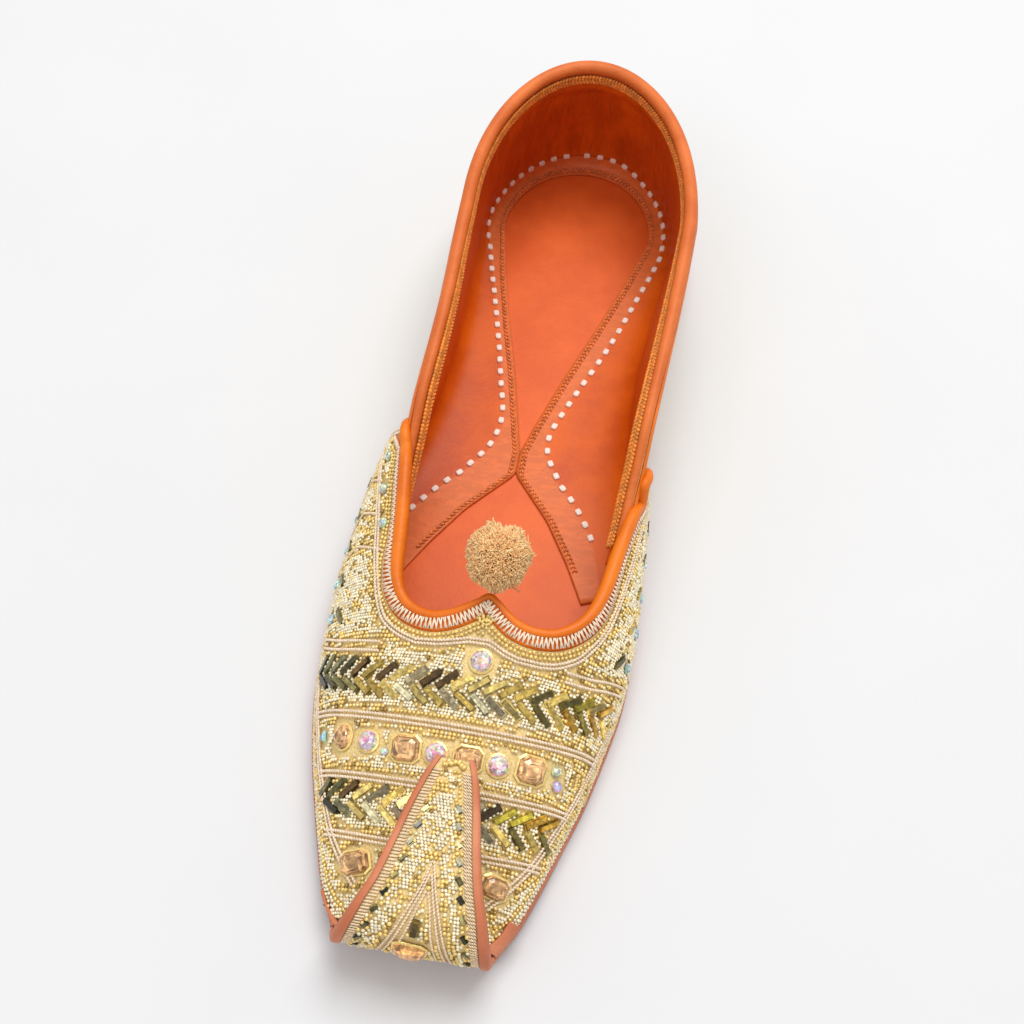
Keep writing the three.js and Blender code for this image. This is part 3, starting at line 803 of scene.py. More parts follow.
def creep(surface, a, b, way, distance, steps=6):
    """Walks from a and b over a surface, a distance in millimetres along a direction in space."""
    a, b = np.array(a, float), np.array(b, float)
    step = 1e-3
    for _ in range(steps):
        across = (surface(a + step, b) - surface(a - step, b)) / (2 * step)
        along = (surface(a, b + step) - surface(a, b - step)) / (2 * step)
        aa, bb, ab = np.sum(across**2, -1), np.sum(along**2, -1), np.sum(across * along, -1)
        wa, wb = np.sum(across * way, -1), np.sum(along * way, -1)
        det = np.maximum(aa * bb - ab * ab, 1e-9)
        da, db = (wa * bb - wb * ab) / det, (wb * aa - wa * ab) / det
        length = np.maximum(np.linalg.norm(across * da[..., None] + along * db[..., None], axis=-1), 1e-9)
        a, b = a + da / length * distance / steps, b + db / length * distance / steps
    return a, b


def share_of(y, turn):
    return rounded(np.pi * (1 - turn), column(LAST, "square", y))[0]


def on_vamp(y, turn):
    """Whether a place on the arch is on the vamp's leather: behind its front edge and outside the collar."""
    edge_y, edge_turn = collar_edge()
    edge_y = np.concatenate([[30.0], edge_y, [30.0]])
    edge_turn = np.concatenate([edge_turn[:1], edge_turn, edge_turn[-1:]])
    y, turn = np.broadcast_arrays(np.asarray(y, float), np.asarray(turn, float))
    inside = np.zeros(y.shape, bool)
    for k in range(len(edge_y)):
        y0, t0, y1, t1 = edge_y[k - 1], edge_turn[k - 1], edge_y[k], edge_turn[k]
        if t0 == t1:
            continue
        crosses = (t0 > turn) != (t1 > turn)
        inside ^= crosses & (y < y0 + (turn - t0) * (y1 - y0) / (t1 - t0))
    return (y < vamp_end_y(turn)) & ~inside


def spaced(points, pitch):
    """Places at an even pitch along a path, with the direction there."""
    length = np.concatenate([[0], np.cumsum(np.linalg.norm(np.diff(points, axis=0), axis=1))])
    count = max(int(round(length[-1] / pitch)), 2)
    at = (np.arange(count) + 0.5) * length[-1] / count
    def pick(shift):
        here = np.clip(at + shift, 0, length[-1])
        return np.stack([np.interp(here, length, points[:, k]) for k in range(3)], 1)

    return pick(0), unit(pick(0.2) - pick(-0.2)), at / length[-1]


class Ground:
    """A leather face to sew on: two places on it give a point, and the normal the way up."""

    def __init__(self, surface):
        self.surface = surface

    def up(self, a, b):
        return outward(self.surface, a, b)

    def at(self, a, b, height):
        return self.surface(a, b) + np.asarray(height)[..., None] * self.up(a, b)


def vamp_inside(y, turn):
    return vamp_point(y, np.clip(turn, 0.002, 0.998))


vamp_ground = Ground(vamp_inside)
quarter_ground = Ground(
    lambda place, rise: quarter_point(np.clip(place, 0.002, 0.998), np.clip(rise, 0.002, 1.2)))
curl_ground = Ground(lambda along, across: curl_point(along, across))

trays = {}
taken = []


def keep_clear(points, radius):
    """No ground bead comes within this distance of these points."""
    taken.append((points, radius))


def clear_of_others(points, margin=0.0):
    """Which points lie clear of everything that is already sewn on."""
    free = np.ones(len(points), bool)
    for centres, radius in taken:
        low, high = centres.min(0) - radius - margin, centres.max(0) + radius + margin
        near = free & np.all((points > low) & (points < high), axis=1)
        if not near.any():
            continue
        index = np.flatnonzero(near)
        for start in range(0, len(index), 2000):
            part = index[start:start + 2000]
            gap = np.linalg.norm(points[part][:, None] - centres[None], axis=-1).min(1)
            free[part[gap < radius + margin]] = False
    return free


def soft_line(pairs, count=200):
    """A smooth line through a few places on a ground, as places on it."""
    pairs = np.asarray(pairs, float)
    fine = smooth_path(np.concatenate([pairs, np.zeros((len(pairs), 1))], 1), count)
    return fine[:, 0], fine[:, 1]


def sew_cord(ground, a, b, height, width=0.92, pitch=0.78, tint=(1, 1, 1)):
    """One twisted cord along a line of places on a ground."""
    line = ground.at(a, b, height)
    place, ahead, at = spaced(line, pitch)
    share = np.linspace(0, 1, len(a))
    length = np.concatenate([[0], np.cumsum(np.linalg.norm(np.diff(line, axis=0), axis=1))])
    where = np.interp(at * length[-1], length, share)
    up = ground.up(np.interp(where, share, a), np.interp(where, share, b))
    shade = CORD * np.asarray(tint) * luck.uniform(0.84, 1.06, (len(place), 1))
    trays["cord"].lay(place, ahead, up, (pitch * 1.1, width, width * 0.9), shade)
    keep_clear(place, width * 0.5 + 0.32)
    return line


def beside(ground, a, b, distance):
    """The line at a distance to the left of a line of places on a ground."""
    line = ground.surface(a, b)
    ahead = unit(np.gradient(line, axis=0))
    way = np.cross(ground.up(a, b), ahead)
    return creep(ground.surface, a, b, way * np.sign(distance), abs(distance))


def sew_double_cord(ground, a, b, height, apart=1.0, **more):
    for side in (-0.5, 0.5):
        sew_cord(ground, *beside(ground, a, b, side * apart), height, **more)


def sew_bead_line(ground, a, b, height, size, tint, jitter=0.06):
    line = ground.at(a, b, height)
    place, ahead, at = spaced(line, size * 1.02)
    up = ground.up(np.interp(at, np.linspace(0, 1, len(a)), a), np.interp(at, np.linspace(0, 1, len(a)), b))
    place = place + luck.normal(0, jitter, place.shape)
    shade = tint * luck.uniform(0.8, 1.12, (len(place), 1))
    trays["ivory" if tint[2] > 0.6 else "gold"].lay(place, ahead, up, (size, size, size * 0.85), shade)
    keep_clear(place, size * 0.5 + 0.3)

# The embroidery


def srgb(*parts):
    """A colour as it looks on a screen, 0 to 255, as light."""
    value = np.array(parts) / 255
    return np.where(value <= 0.04045, value / 12.92, ((value + 0.055) / 1.055) ** 2.4)


GOLD = srgb(250, 218, 134)
IVORY = srgb(252, 240, 208)
CORD = srgb(250, 228, 200)
CHAMPAGNE = srgb(232, 184, 132)
SMOKED = [srgb(84, 82, 56), srgb(120, 114, 72), srgb(172, 160, 100), srgb(56, 52, 36), srgb(196, 188, 140)]
GILT = [srgb(226, 200, 118), srgb(240, 230, 186), srgb(206, 176, 88), srgb(112, 84, 44), srgb(196, 180, 140)]
AMBER = [srgb(226, 206, 70), srgb(206, 160, 54), srgb(150, 104, 44), srgb(230, 200, 110), srgb(140, 124, 58)]
AURORA = np.array([
    srgb(255, 196, 214), srgb(236, 206, 244), srgb(200, 238, 240), srgb(255, 250, 240), srgb(250, 176, 208),
    srgb(214, 246, 186), srgb(190, 176, 238), srgb(255, 236, 222), srgb(244, 226, 190)])
COOL_AURORA = np.array([
    srgb(160, 190, 250), srgb(200, 160, 240), srgb(120, 220, 226), srgb(236, 244, 255), srgb(176, 236, 130),
    srgb(110, 130, 210)])
# Painted facet light and shade: a random brightness for each facet of the champagne stones and glass bars,
# standing in for reflections in the cut glass.
CUT_FACET_LIGHT_AND_SHADE = np.array([[k, k * 0.97, k * 0.92] for k in (0.42, 0.62, 0.8, 1.0, 1.2, 1.45)])
BAR_FACET_LIGHT_AND_SHADE = np.array([[k, k, k] for k in (0.42, 0.75, 1.0, 1.3)])


def ways(ground, a, b, by_first):
    """Unit directions on a ground: along its first or second measure, and square to it."""
    step = 1e-3
    if by_first:
        right = unit(ground.surface(a + step, b) - ground.surface(a - step, b))
    else:
        right = unit(ground.surface(a, b + step) - ground.surface(a, b - step))
    up = ground.up(a, b)
    return right, np.cross(up, right), up


def set_stone(tray, ground, a, b, height, size, tint=(1, 1, 1), degrees=0.0, by_first=False, clear=0.2):
    """Sews stones or glass bars on at places on a ground, turned by an angle."""
    a, b = np.atleast_1d(a).astype(float), np.atleast_1d(b).astype(float)
    right, fore, up = ways(ground, a, b, by_first)
    angle = np.radians(degrees)
    ahead = right * np.cos(angle) + fore * np.sin(angle)
    place = ground.at(a, b, height)
    trays[tray].lay(place, ahead, up, size, tint)
    wide, deep = size[0], size[1]
    if tray in ("octagon", "oval", "round") and wide > 4:
        rim = "round_setting" if tray != "octagon" else "square_setting"
        trays[rim].lay(place, ahead, up, (wide + 0.9, deep + 0.9, size[2] * 0.42), GOLD)
    side = np.cross(up, ahead)
    for k in np.linspace(-0.5, 0.5, 5):
        for m in ([0.0] if deep < 2.6 else [-0.28, 0, 0.28]):
            keep_clear(place + ahead * wide * 0.8 * k + side * deep * m, min(deep * 0.42, 2.0) + clear)


def band_line(station, bow, low, high, power=3, count=90):
    """A line across the vamp at a station, bowed back at its sides."""
    share = np.linspace(low, high, count)
    y = station + bow * np.abs(share) ** power
    return y, turn_at(y, share)


def by_plan(*pairs):
    """A soft line across the vamp through places on the ground plan."""
    x, y = np.array(pairs).T
    return soft_line(np.stack([y, over_last(x, y)], 1))


def turn_up(y, height, right):
    """The turn at which the vamp's side is that high over the sole."""
    y = np.asarray(y, float)
    rise = np.clip(height / (column(LAST, "crown", y) - seat(y)), 0, 1)
    turn = np.arcsin(rise ** (column(LAST, "square", y) / 2)) / np.pi
    return 1 - turn if right else turn


VAMP_TOP, EDGE_COUNT = 0.4, 500


def roll_width():
    """The roll's radius along the collar's edge."""
    radius = COLLAR_EDGE["radius"]
    return np.interp(np.linspace(0, 1, EDGE_COUNT), np.linspace(0, 1, len(radius)), radius)


def band_width():
    """How far the folded leather reaches from the cut edge: narrow up the wings and wide round the throat."""
    y = edge_line(0)[0]
    return roll_width() + lerp(3.0, 1.5, np.clip((y + 46) / 16, 0, 1))


def edge_line(offset):
    """A line on the vamp at a distance from its cut edge, from the left wing's tip to the right."""
    y, turn = collar_edge()
    pairs = smooth_path(np.stack([y, turn * 100, 0 * y], 1), EDGE_COUNT) / [1, 100, 1]
    y, turn = pairs[:, 0], pairs[:, 1]
    line = vamp_point(y, turn)
    ahead = unit(np.gradient(line, axis=0))
    way = -np.cross(vamp_ground.up(y, turn), ahead)
    if np.isscalar(offset) and offset == 0:
        return y, turn
    return creep(vamp_inside, y, turn, way, offset)


def sew_vamp():
    top = VAMP_TOP
    cord_height = top + 0.75
    # The cord that frames the collar, out along both wings
    left_wing = [(-31.0, -8.5), (-29.6, -18.0), (-27.4, -30.0), (-25.2, -42.0)]
    right_wing = [(32.6, -42.0), (34.4, -30.0), (35.3, -20.0), (35.6, -12.5)]
    front = [(-22.6, -51.0), (-20.0, -55.3), (-15.0, -58.4), (-10.2, -59.6), (-3.7, -58.7), (3.2, -57.4),
             (10.0, -59.7), (14.5, -60.5), (19.0, -60.0), (24.6, -57.4), (28.4, -53.0), (31.0, -48.0)]
    for line in (by_plan(*left_wing, *front, *right_wing),):
        sew_double_cord(vamp_ground, *line, cord_height, apart=0.95)
    # Short double cords that close the wings
    sew_double_cord(vamp_ground, *by_plan((-36.0, -57.0), (-31.0, -59.6), (-25.0, -60.6), (-20.4, -61.0)),
                    cord_height, apart=2.2)
    sew_double_cord(vamp_ground, *by_plan((23.6, -61.0), (28.0, -60.6), (33.0, -59.0), (36.6, -57.0)),
                    cord_height, apart=2.2)
    crossing = ((-77.6, 2.6, -0.97, 0.975), (-91.2, 2.0, -0.94, 0.95), (-104.3, 1.9, -0.93, 0.95))
    for station, bow, low, high in crossing:
        sew_double_cord(vamp_ground, *band_line(station, bow, low, high), cord_height, apart=1.15)
    y, height = np.array(((-66, 8.0), (-80, 8.2), (-92, 8.0), (-104, 7.6), (-114, 7.0))).T
    for right in (False, True):
        line = soft_line(np.stack([y, turn_up(y, height, right)], 1))
        sew_double_cord(vamp_ground, *line, cord_height, apart=1.1)
    # Herringbone of glass bars in two bands
    for station, bow, low, high, away in ((-69.4, 5.0, -0.965, 0.93, 2.1), (-96.6, 2.4, -0.93, 0.9, 2.1)):
        for row, degrees in ((away, 38), (-away, -38)):
            y, turn = band_line(station + row, bow, low, high, power=3.4)
            line = vamp_ground.at(y, turn, top)
            _, _, at = spaced(line, 3.7)
            length = np.concatenate([[0], np.cumsum(np.linalg.norm(np.diff(line, axis=0), axis=1))])
            here = at * length[-1] + (1.3 if row < 0 else 0)
            y, turn = np.interp(here, length, y), np.interp(here, length, turn)
            share = share_of(y, turn)
            for k in range(len(y)):
                palette = SMOKED if share[k] < -0.72 else AMBER if share[k] > 0.45 else GILT
                tint = palette[luck.integers(len(palette))]
                set_stone("bar", vamp_ground, y[k], turn[k], top + 0.6, (6.1, 2.0, 1.4), tint,
                          degrees + luck.uniform(-4, 4), clear=0.1)
    # The row of stones and the single ones: place, tray, size, turn and tint
    stones = [
        (-30.4, -81.2, "cool", (3.2, 3.2, 2.4), 90, srgb(190, 240, 220)),
        (-25.1, -81.9, "oval", (6.0, 5.0, 4.0), 90, CHAMPAGNE),
        (-18.7, -82.9, "round", (4.9, 4.9, 3.8), 10, (1.0, 0.95, 1.0)),
        (-14.4, -85.0, "round", (1.9, 1.9, 1.8), 0, (0.7, 0.9, 1.0)),
        (-9.6, -83.8, "octagon", (6.6, 6.0, 4.4), 0, CHAMPAGNE),
        (-2.6, -84.0, "round", (5.1, 5.1, 4.0), 0, (1.0, 0.97, 0.95)),
        (5.0, -84.0, "octagon", (6.4, 5.6, 4.4), 0, CHAMPAGNE),
        (12.0, -84.0, "round", (5.0, 5.0, 4.0), 25, (1.0, 0.92, 0.97)),
        (19.4, -83.2, "octagon", (6.8, 6.2, 4.6), 0, CHAMPAGNE * 1.1),
        (24.9, -81.6, "round", (2.7, 2.7, 2.4), 0, (0.75, 1.0, 0.6)),
        (25.5, -84.6, "round", (2.7, 2.7, 2.4), 40, (0.75, 0.75, 1.0)),
        (4.0, -62.0, "round", (5.2, 5.2, 3.8), 0, (1.0, 0.93, 0.95)),
        (-16.3, -109.4, "octagon", (7.2, 5.2, 4.6), 14, CHAMPAGNE),
        (15.6, -109.4, "octagon", (6.4, 4.8, 4.2), -10, CHAMPAGNE * 0.9),
    ]
    for x, y, tray, size, degrees, tint in stones:
        set_stone(tray, vamp_ground, y, over_last(x, y), top + 0.25, size, tint, degrees)
    # Loops of gold cord at the right end of the row
    for k in range(3):
        x = 29.2 + 1.3 * k
        line = by_plan((x, -83.4), (x + 0.2, -80.0))
        sew_cord(vamp_ground, *line, top + 0.8, width=1.0, pitch=0.8, tint=GOLD / CORD)
    # Chevrons of glass bars and stones up both wings
    for right in (False, True):
        hand = -1 if right else 1
        dark = AMBER if right else SMOKED
        for k in range(5):
            y = -54.4 + 9.6 * k
            for height, back, degrees, size in ((26.0, 0.0, -52, 4.2), (16.5, 2.6, 52, 4.6)):
                at = y + back
                turn = turn_up(at, height, right)
                spot = vamp_ground.at(np.array([at]), np.array([turn]), 0.8)
                if on_vamp(at + 2.5, turn) and clear_of_others(spot, 1.3)[0]:
                    set_stone("bar", vamp_ground, at, turn, top + 0.6, (size, 1.8, 1.3),
                              dark[luck.integers(len(dark))], 90 + hand * degrees * 0.62)
            for height, back, tint in ((29.0, 5.2, (0.7, 1.0, 0.7)), (11.5, 4.4, (0.6, 0.95, 1.0))):
                at = y + back - 1.0
                turn = turn_up(at, height, right)
                if on_vamp(at + 2.5, turn) and on_vamp(at, turn + (0.03 if not right else -0.03)):
                    set_stone("round", vamp_ground, at, turn, top + 0.3, (2.8, 2.8, 2.4), tint, 20 * k)
            # A cord in a zigzag round each pair
            y_fold = np.array([y - 3.6, y + 0.2, y - 3.6 + 0.6])
            heights = np.array([10.0, 21.5, 28.5])
            turns = turn_up(y_fold, heights, right)
            fine = np.linspace(0, 2, 60)
            line = (np.interp(fine, range(3), y_fold), np.interp(fine, range(3), turns))
            if on_vamp(y + 3, turns[2]) and k:
                sew_cord(vamp_ground, *line, cord_height, tint=(0.95, 0.93, 0.85))
    # A cord down the rear edge of each wing
    for low, high in ((0.012, 0.2), (0.988, 0.82)):
        turn = np.linspace(low, high, 80)
        for back in (0.2, 1.2):
            sew_cord(vamp_ground, vamp_end_y(turn) - back, turn, cord_height - 0.15)
    # Ivory beads along the sole
    for right in (False, True):
        for k, height in enumerate((1.0, 1.95, 2.9, 3.85)):
            y = np.linspace(-118.5, 4.0, 300)
            turn = turn_up(y, height, right)
            keep = on_vamp(y + 1.0, turn)
            sew_bead_line(vamp_ground, y[keep], turn[keep], top + 0.5, 0.95, IVORY if k != 3 else GOLD * 1.2)
    # Gold beads beside the leather band
    for gap in (0.75, 1.8):
        sew_bead_line(vamp_ground, *edge_line(band_width() + gap), top + 0.5, 1.05, GOLD)


def sew_ground(ground, lines, height, margin=0.0):
    """Fills what is left of a ground with rows of seed beads: gold beside the cords and ivory elsewhere."""
    cords = np.concatenate([lot[0] for lot in trays["cord"].lots])
    for tray, pitch, size in (("gold", 1.0, 1.1), ("ivory", 0.78, 0.94)):
        places, ups, aheads = [], [], []
        for row, (a, b, keep) in enumerate(lines(pitch * 0.9)):
            line = ground.at(a, b, height)
            length = np.concatenate([[0], np.cumsum(np.linalg.norm(np.diff(line, axis=0), axis=1))])
            at = np.arange((0.25 + 0.5 * (row % 2)) * pitch, length[-1], pitch)
            at = at + luck.normal(0, 0.07 * pitch, len(at))
            here_a, here_b = np.interp(at, length, a), np.interp(at, length, b)
            good = keep(here_a, here_b)
            here_a, here_b = here_a[good], here_b[good]
            if len(here_a) == 0:
                continue
            point = ground.at(here_a, here_b, height)
            places.append(point)
            ups.append(ground.up(here_a, here_b))
            aheads.append(np.cross(ups[-1], np.array([0.3, 1.0, 0.1])))
        place, up, ahead = np.concatenate(places), np.concatenate(ups), np.concatenate(aheads)
        x, y, z = place.T
        patch = np.sin(x * 0.55 + 1.3 * np.sin(y * 0.4)) * np.sin(y * 0.62 + z * 0.3)
        near = near_to(place, cords, 2.1)
        gold = (near ^ (luck.random(len(place)) < 0.08)) | (patch > 0.78)
        wanted = gold if tray == "gold" else ~gold
        place, up, ahead = place[wanted], up[wanted], ahead[wanted]
        free = clear_of_others(place, margin)
        place, up, ahead = place[free], up[free], ahead[free]
        if tray == "gold":
            keep_clear(place, size * 0.5 + 0.12)
        tone = luck.random((len(place), 1))
        if tray == "gold":
            tint = np.where(tone < 0.07, srgb(170, 136, 66), np.where(tone > 0.8, srgb(255, 244, 204), GOLD))
        else:
            tint = np.where(tone < 0.08, GOLD, IVORY + 0 * tone)
        tint = tint * luck.uniform(0.8, 1.12, (len(place), 1))
        grow = luck.uniform(0.88, 1.1, (len(place), 1))
        place = place + up * luck.normal(0, 0.08, (len(place), 1))
        trays[tray].lay(place, ahead, up, grow * [[size, size, size * 0.86]], tint)


def near_to(points, others, distance):
    """Which points lie within a distance of some others."""
    tree = kdtree.KDTree(len(others))
    for k, other in enumerate(others):
        tree.insert(other, k)
    tree.balance()
    return np.array([tree.find(point)[2] < distance for point in points])


def vamp_rows(pitch):
    for y in np.arange(-120.6, 5.5, pitch):
        turn = np.linspace(0.004, 0.996, 500)
        yield y + 0 * turn, turn, lambda a, b: on_vamp(a + 1.2, b)


def quarter_line(height, low=-140.0, high=140.0, count=400):
    """A line round the quarter at a height over the sole: places, rises and the way along from the rear."""
    place = np.linspace(0.004, 0.996, 900)
    rise = quarter_rise(place, height)
    line = quarter_point(place, rise)
    length = np.concatenate([[0], np.cumsum(np.linalg.norm(np.diff(line, axis=0), axis=1))])
    length -= np.interp(0.5, place, length)
    way = np.linspace(max(low, length[0]), min(high, length[-1]), count)
    place = np.interp(way, length, place)
    return place, quarter_rise(place, height if np.isscalar(height) else np.interp(way, length, height)), way


def quarter_rise(place, height):
    """The rise at which the quarter is that high over the sole, as a share of 46 mm at the heel."""
    return np.clip(height / 46.0, 0.0, 1.0) + 0 * place


def behind_wing(place, rise, gap=0.5):
    """Which places on the quarter lie clear of the vamp's wings."""
    point = quarter_point(place, rise)
    tip = np.where(place < 0.5, WING_TIP_Y["left"], WING_TIP_Y["right"])
    return point[..., 1] > lerp(WING_BASE_Y, tip, np.clip(point[..., 2] / 43.0, 0, 1)) + gap


def at_heel(way, height):
    """Places on the quarter from distances round it and heights over the sole."""
    place, _, ways_along = quarter_line(22.0, count=900)
    way, height = np.asarray(way, float), np.asarray(height, float)
    return np.interp(way, ways_along, place), quarter_rise(0 * way, height)


def sew_quarter():
    top = -0.2
    cord_height = top + 0.7
    ground = quarter_ground
    for height, apart in ((38.2, 1.1), (13.4, 1.1)):
        place, rise, way = quarter_line(height)
        keep = behind_wing(place, rise)
        sew_double_cord(ground, place[keep], rise[keep], cord_height, apart=apart)
    cup = 34.0
    for k in range(-3, 4):
        centre = k * cup
        # A cup of double cord that holds a cut stone
        way = np.linspace(-15.5, 15.5, 60)
        dip = 33.0 - 8.4 * np.cos(np.pi * way / 31.0) ** 2 + 1.2 * np.cos(2 * np.pi * way / 31.0)
        a, b = at_heel(centre + way, dip)
        if not behind_wing(a, b).all():
            a, b = a[behind_wing(a, b)], b[behind_wing(a, b)]
        if len(a) > 12:
            sew_double_cord(ground, a, b, cord_height, apart=1.0)
        a, b = at_heel(np.array([centre]), np.array([29.4]))
        if behind_wing(a, b).all():
            set_stone("cool", ground, a, b, top + 0.3, (5.0, 5.0, 3.6), (0.9, 0.9, 1.1), 90, by_first=True)
        # Fans of ivory between dark glass bars
        for m in range(4):
            way = centre + (m - 1.5) * cup / 4
            a, b = at_heel(np.array([way]), np.array([18.6]))
            if not behind_wing(a, b).all():
                continue
            for radius in (1.2, 2.2, 3.2):
                spread = np.linspace(0, np.pi, 24)
                fa, fb = at_heel(way + radius * np.cos(spread), 17.0 + radius * np.sin(spread) * 1.15)
                sew_bead_line(ground, fa, fb, top + 0.5, 0.9, IVORY)
            a, b = at_heel(np.array([way + cup / 8]), np.array([20.4]))
            if behind_wing(a, b).all():
                degrees = 114 if m % 2 else 66
                set_stone("bar", ground, a, b, top + 0.5, (4.4, 1.8, 1.3), SMOKED[m], degrees, by_first=True)
    # Triangles and long champagne stones low on the heel
    for k in range(-11, 12):
        a, b = at_heel(np.array([k * 9.4]), np.array([8.6]))
        if not behind_wing(a, b, 3.0).all():
            continue
        if k % 2:
            set_stone("oval", ground, a, b, top + 0.3, (6.6, 3.6, 3.4), CHAMPAGNE, 0, by_first=True)
        else:
            set_stone("cool", ground, a, b, top + 0.3, (4.4, 4.4, 3.4), (0.85, 0.95, 1.1), 90, by_first=True)
    for height, size, tint in ((0.8, 0.95, IVORY), (1.75, 0.95, IVORY), (2.7, 0.95, IVORY), (4.0, 1.05, GOLD),
                               (15.2, 1.05, GOLD), (40.4, 1.1, GOLD), (41.5, 1.1, GOLD)):
        place, rise, way = quarter_line(height)
        keep = behind_wing(place, rise)
        sew_bead_line(ground, place[keep], rise[keep], top + 0.5, size, tint)


def quarter_rows(pitch):
    for height in np.arange(0.8, 42.2, pitch):
        place, rise, _ = quarter_line(height, count=600)
        yield place, rise, behind_wing


def sew_curl():
    ground = curl_ground
    top = 1.0
    cord_height = top + 0.5
    # Cords that meet in a point on the folded face
    for side, foot in ((-1, 0.29), (1, 0.76)):
        for inset in (0.0, 0.042, 0.1):
            middle = lerp(0.525, foot - side * inset, 0.62)
            line = soft_line([
                (0.63 - inset, 0.525 + side * 0.01), (0.57 - inset, 0.525 + side * 0.05),
                (0.42 - inset * 0.4, middle), (0.2, foot - side * inset * 0.9),
                (0.06, foot - side * inset * 0.9)], 90)
            sew_cord(ground, *line, cord_height, width=0.72, tint=(1, 0.97, 0.92))
    # Slanting stitches beside the leather edges
    for side in (-1, 1):
        along = np.linspace(0.03, 0.93, 400)
        width = np.interp(along * 9, CURL["row"], CURL["width"])
        for inset in (0.55, 1.15, 1.75):
            inset = inset + curl_trim(along)
            across = np.where(side < 0, inset / width, 1 - inset / width)
            line = ground.at(along, across, cord_height - 0.2)
            place, ahead, at = spaced(line, 0.78)
            evenly = np.linspace(0, 1, 400)
            up = ground.up(np.interp(at, evenly, along), np.interp(at, evenly, across))
            slant = unit(ahead + side * 1.1 * np.cross(up, ahead))
            shade = CORD * [1.0, 0.96, 0.86] * luck.uniform(0.8, 1.08, (len(place), 1))
            trays["cord"].lay(place, slant, up, (1.15, 0.5, 0.6), shade)
            keep_clear(place, 0.55)
        # Dark glass in a row inside the stitches
        inset = 3.1 + curl_trim(along)
        across = np.where(side < 0, inset / width, 1 - inset / width)
        line = ground.at(along, across, 0)
        length = np.concatenate([[0], np.cumsum(np.linalg.norm(np.diff(line, axis=0), axis=1))])
        for at in np.arange(4.0, length[-1] * 0.86, 3.9):
            a, b = np.interp(at, length, along), np.interp(at, length, across)
            tint = SMOKED[luck.integers(4)] * 1.1
            set_stone("bar", ground, a, b, top + 0.35, (1.9, 1.2, 1.1), tint, 30 * side,
                      by_first=True, clear=0.05)
    set_stone("bar", ground, 0.385, 0.495, top + 0.5, (4.0, 2.2, 1.7), srgb(150, 126, 62), 0, by_first=True)
    amber = CHAMPAGNE * [1.1, 0.95, 0.72]
    set_stone("octagon", ground, 0.262, 0.49, top + 0.3, (4.4, 7.2, 4.4), amber, 0, by_first=True)
    # A cluster of gold beads on the tip
    for k in range(7):
        a, b = 0.975 - 0.012 * (k % 3), 0.5 + 0.24 * np.sin(k * 0.9)
        line = np.array([a, a + 0.004]), np.array([b, b + 0.05])
        sew_bead_line(ground, *line, 1.7, 1.35, GOLD)


def curl_rows(pitch):
    for row in np.arange(0.6, 52.0, pitch):
        middle = curl_point(np.linspace(0, 1, 300), np.full(300, 0.5))
        length = np.concatenate([[0], np.cumsum(np.linalg.norm(np.diff(middle, axis=0), axis=1))])
        if row > length[-1] - 0.5:
            return
        along = np.interp(row, length, np.linspace(0, 1, 300))
        width = column(CURL, "width", np.array(along * 9), "row")
        edge = min((curl_trim(along) + 0.25) / width, 0.4)
        across = np.linspace(edge, 1 - edge, 120)
        yield along + 0 * across, across, lambda a, b: np.ones(len(a), bool)


def collar_band():
    """The leather band that is folded down from the vamp's roll, under the zigzag stitches."""
    y, turn = edge_line(0)
    wide = band_width()

    def edge_at(at):
        return np.interp(at, np.arange(len(y)), y), np.interp(at, np.arange(len(y)), turn)

    def surface(a, b):
        at = b * (len(y) - 1)
        y0, turn0 = edge_at(at)
        ahead = unit(vamp_point(*edge_at(at + 0.6)) - vamp_point(*edge_at(at - 0.6)))
        way = -np.cross(vamp_ground.up(y0, turn0), ahead)
        y1, turn1 = creep(vamp_inside, y0, turn0, way, np.interp(at, np.arange(len(y)), wide) * a)
        return vamp_ground.at(y1, turn1, VAMP_TOP + 0.15 + 0.4 * np.sin(np.pi * np.clip(a, 0, 1)))

    piece = leather_sheet(surface, 8, 260)
    apply_modifier(piece, "SOLIDIFY", thickness=0.7 * MM, offset=-1)
    return piece


def sew_zigzag():
    """White thread laid in a zigzag over the collar band."""
    inner, outer = edge_line(roll_width() * 0.8), edge_line(band_width() - 0.6)
    for a, b, phase in ((inner, outer, 0), (outer, inner, 1)):
        start = vamp_ground.at(*a, VAMP_TOP + 0.95)
        finish = vamp_ground.at(*b, VAMP_TOP + 0.95)
        length = np.concatenate([[0], np.cumsum(np.linalg.norm(np.diff(start, axis=0), axis=1))])
        count = int(length[-1] / 1.05)
        at = np.arange(count) * 1.05
        shift = 0.52
        pick = lambda points, where: np.stack([np.interp(where, length, points[:, k]) for k in range(3)], 1)
        share = at / length[-1]
        grid = np.linspace(0, 1, len(a[0]))
        one = pick(start, at + (0 if phase == 0 else shift))
        other = pick(finish, at + (shift if phase == 0 else 1.05))
        middle, span = (one + other) / 2, other - one
        up = vamp_ground.up(np.interp(share, grid, a[0]), np.interp(share, grid, a[1]))
        long = np.linalg.norm(span, axis=1)
        size = np.stack([long, np.full(count, 0.42), np.full(count, 0.42)], 1)
        trays["stitch"].lay(middle + 0.1 * up, span, up, size, CORD * luck.uniform(0.85, 1.08, (count, 1)))


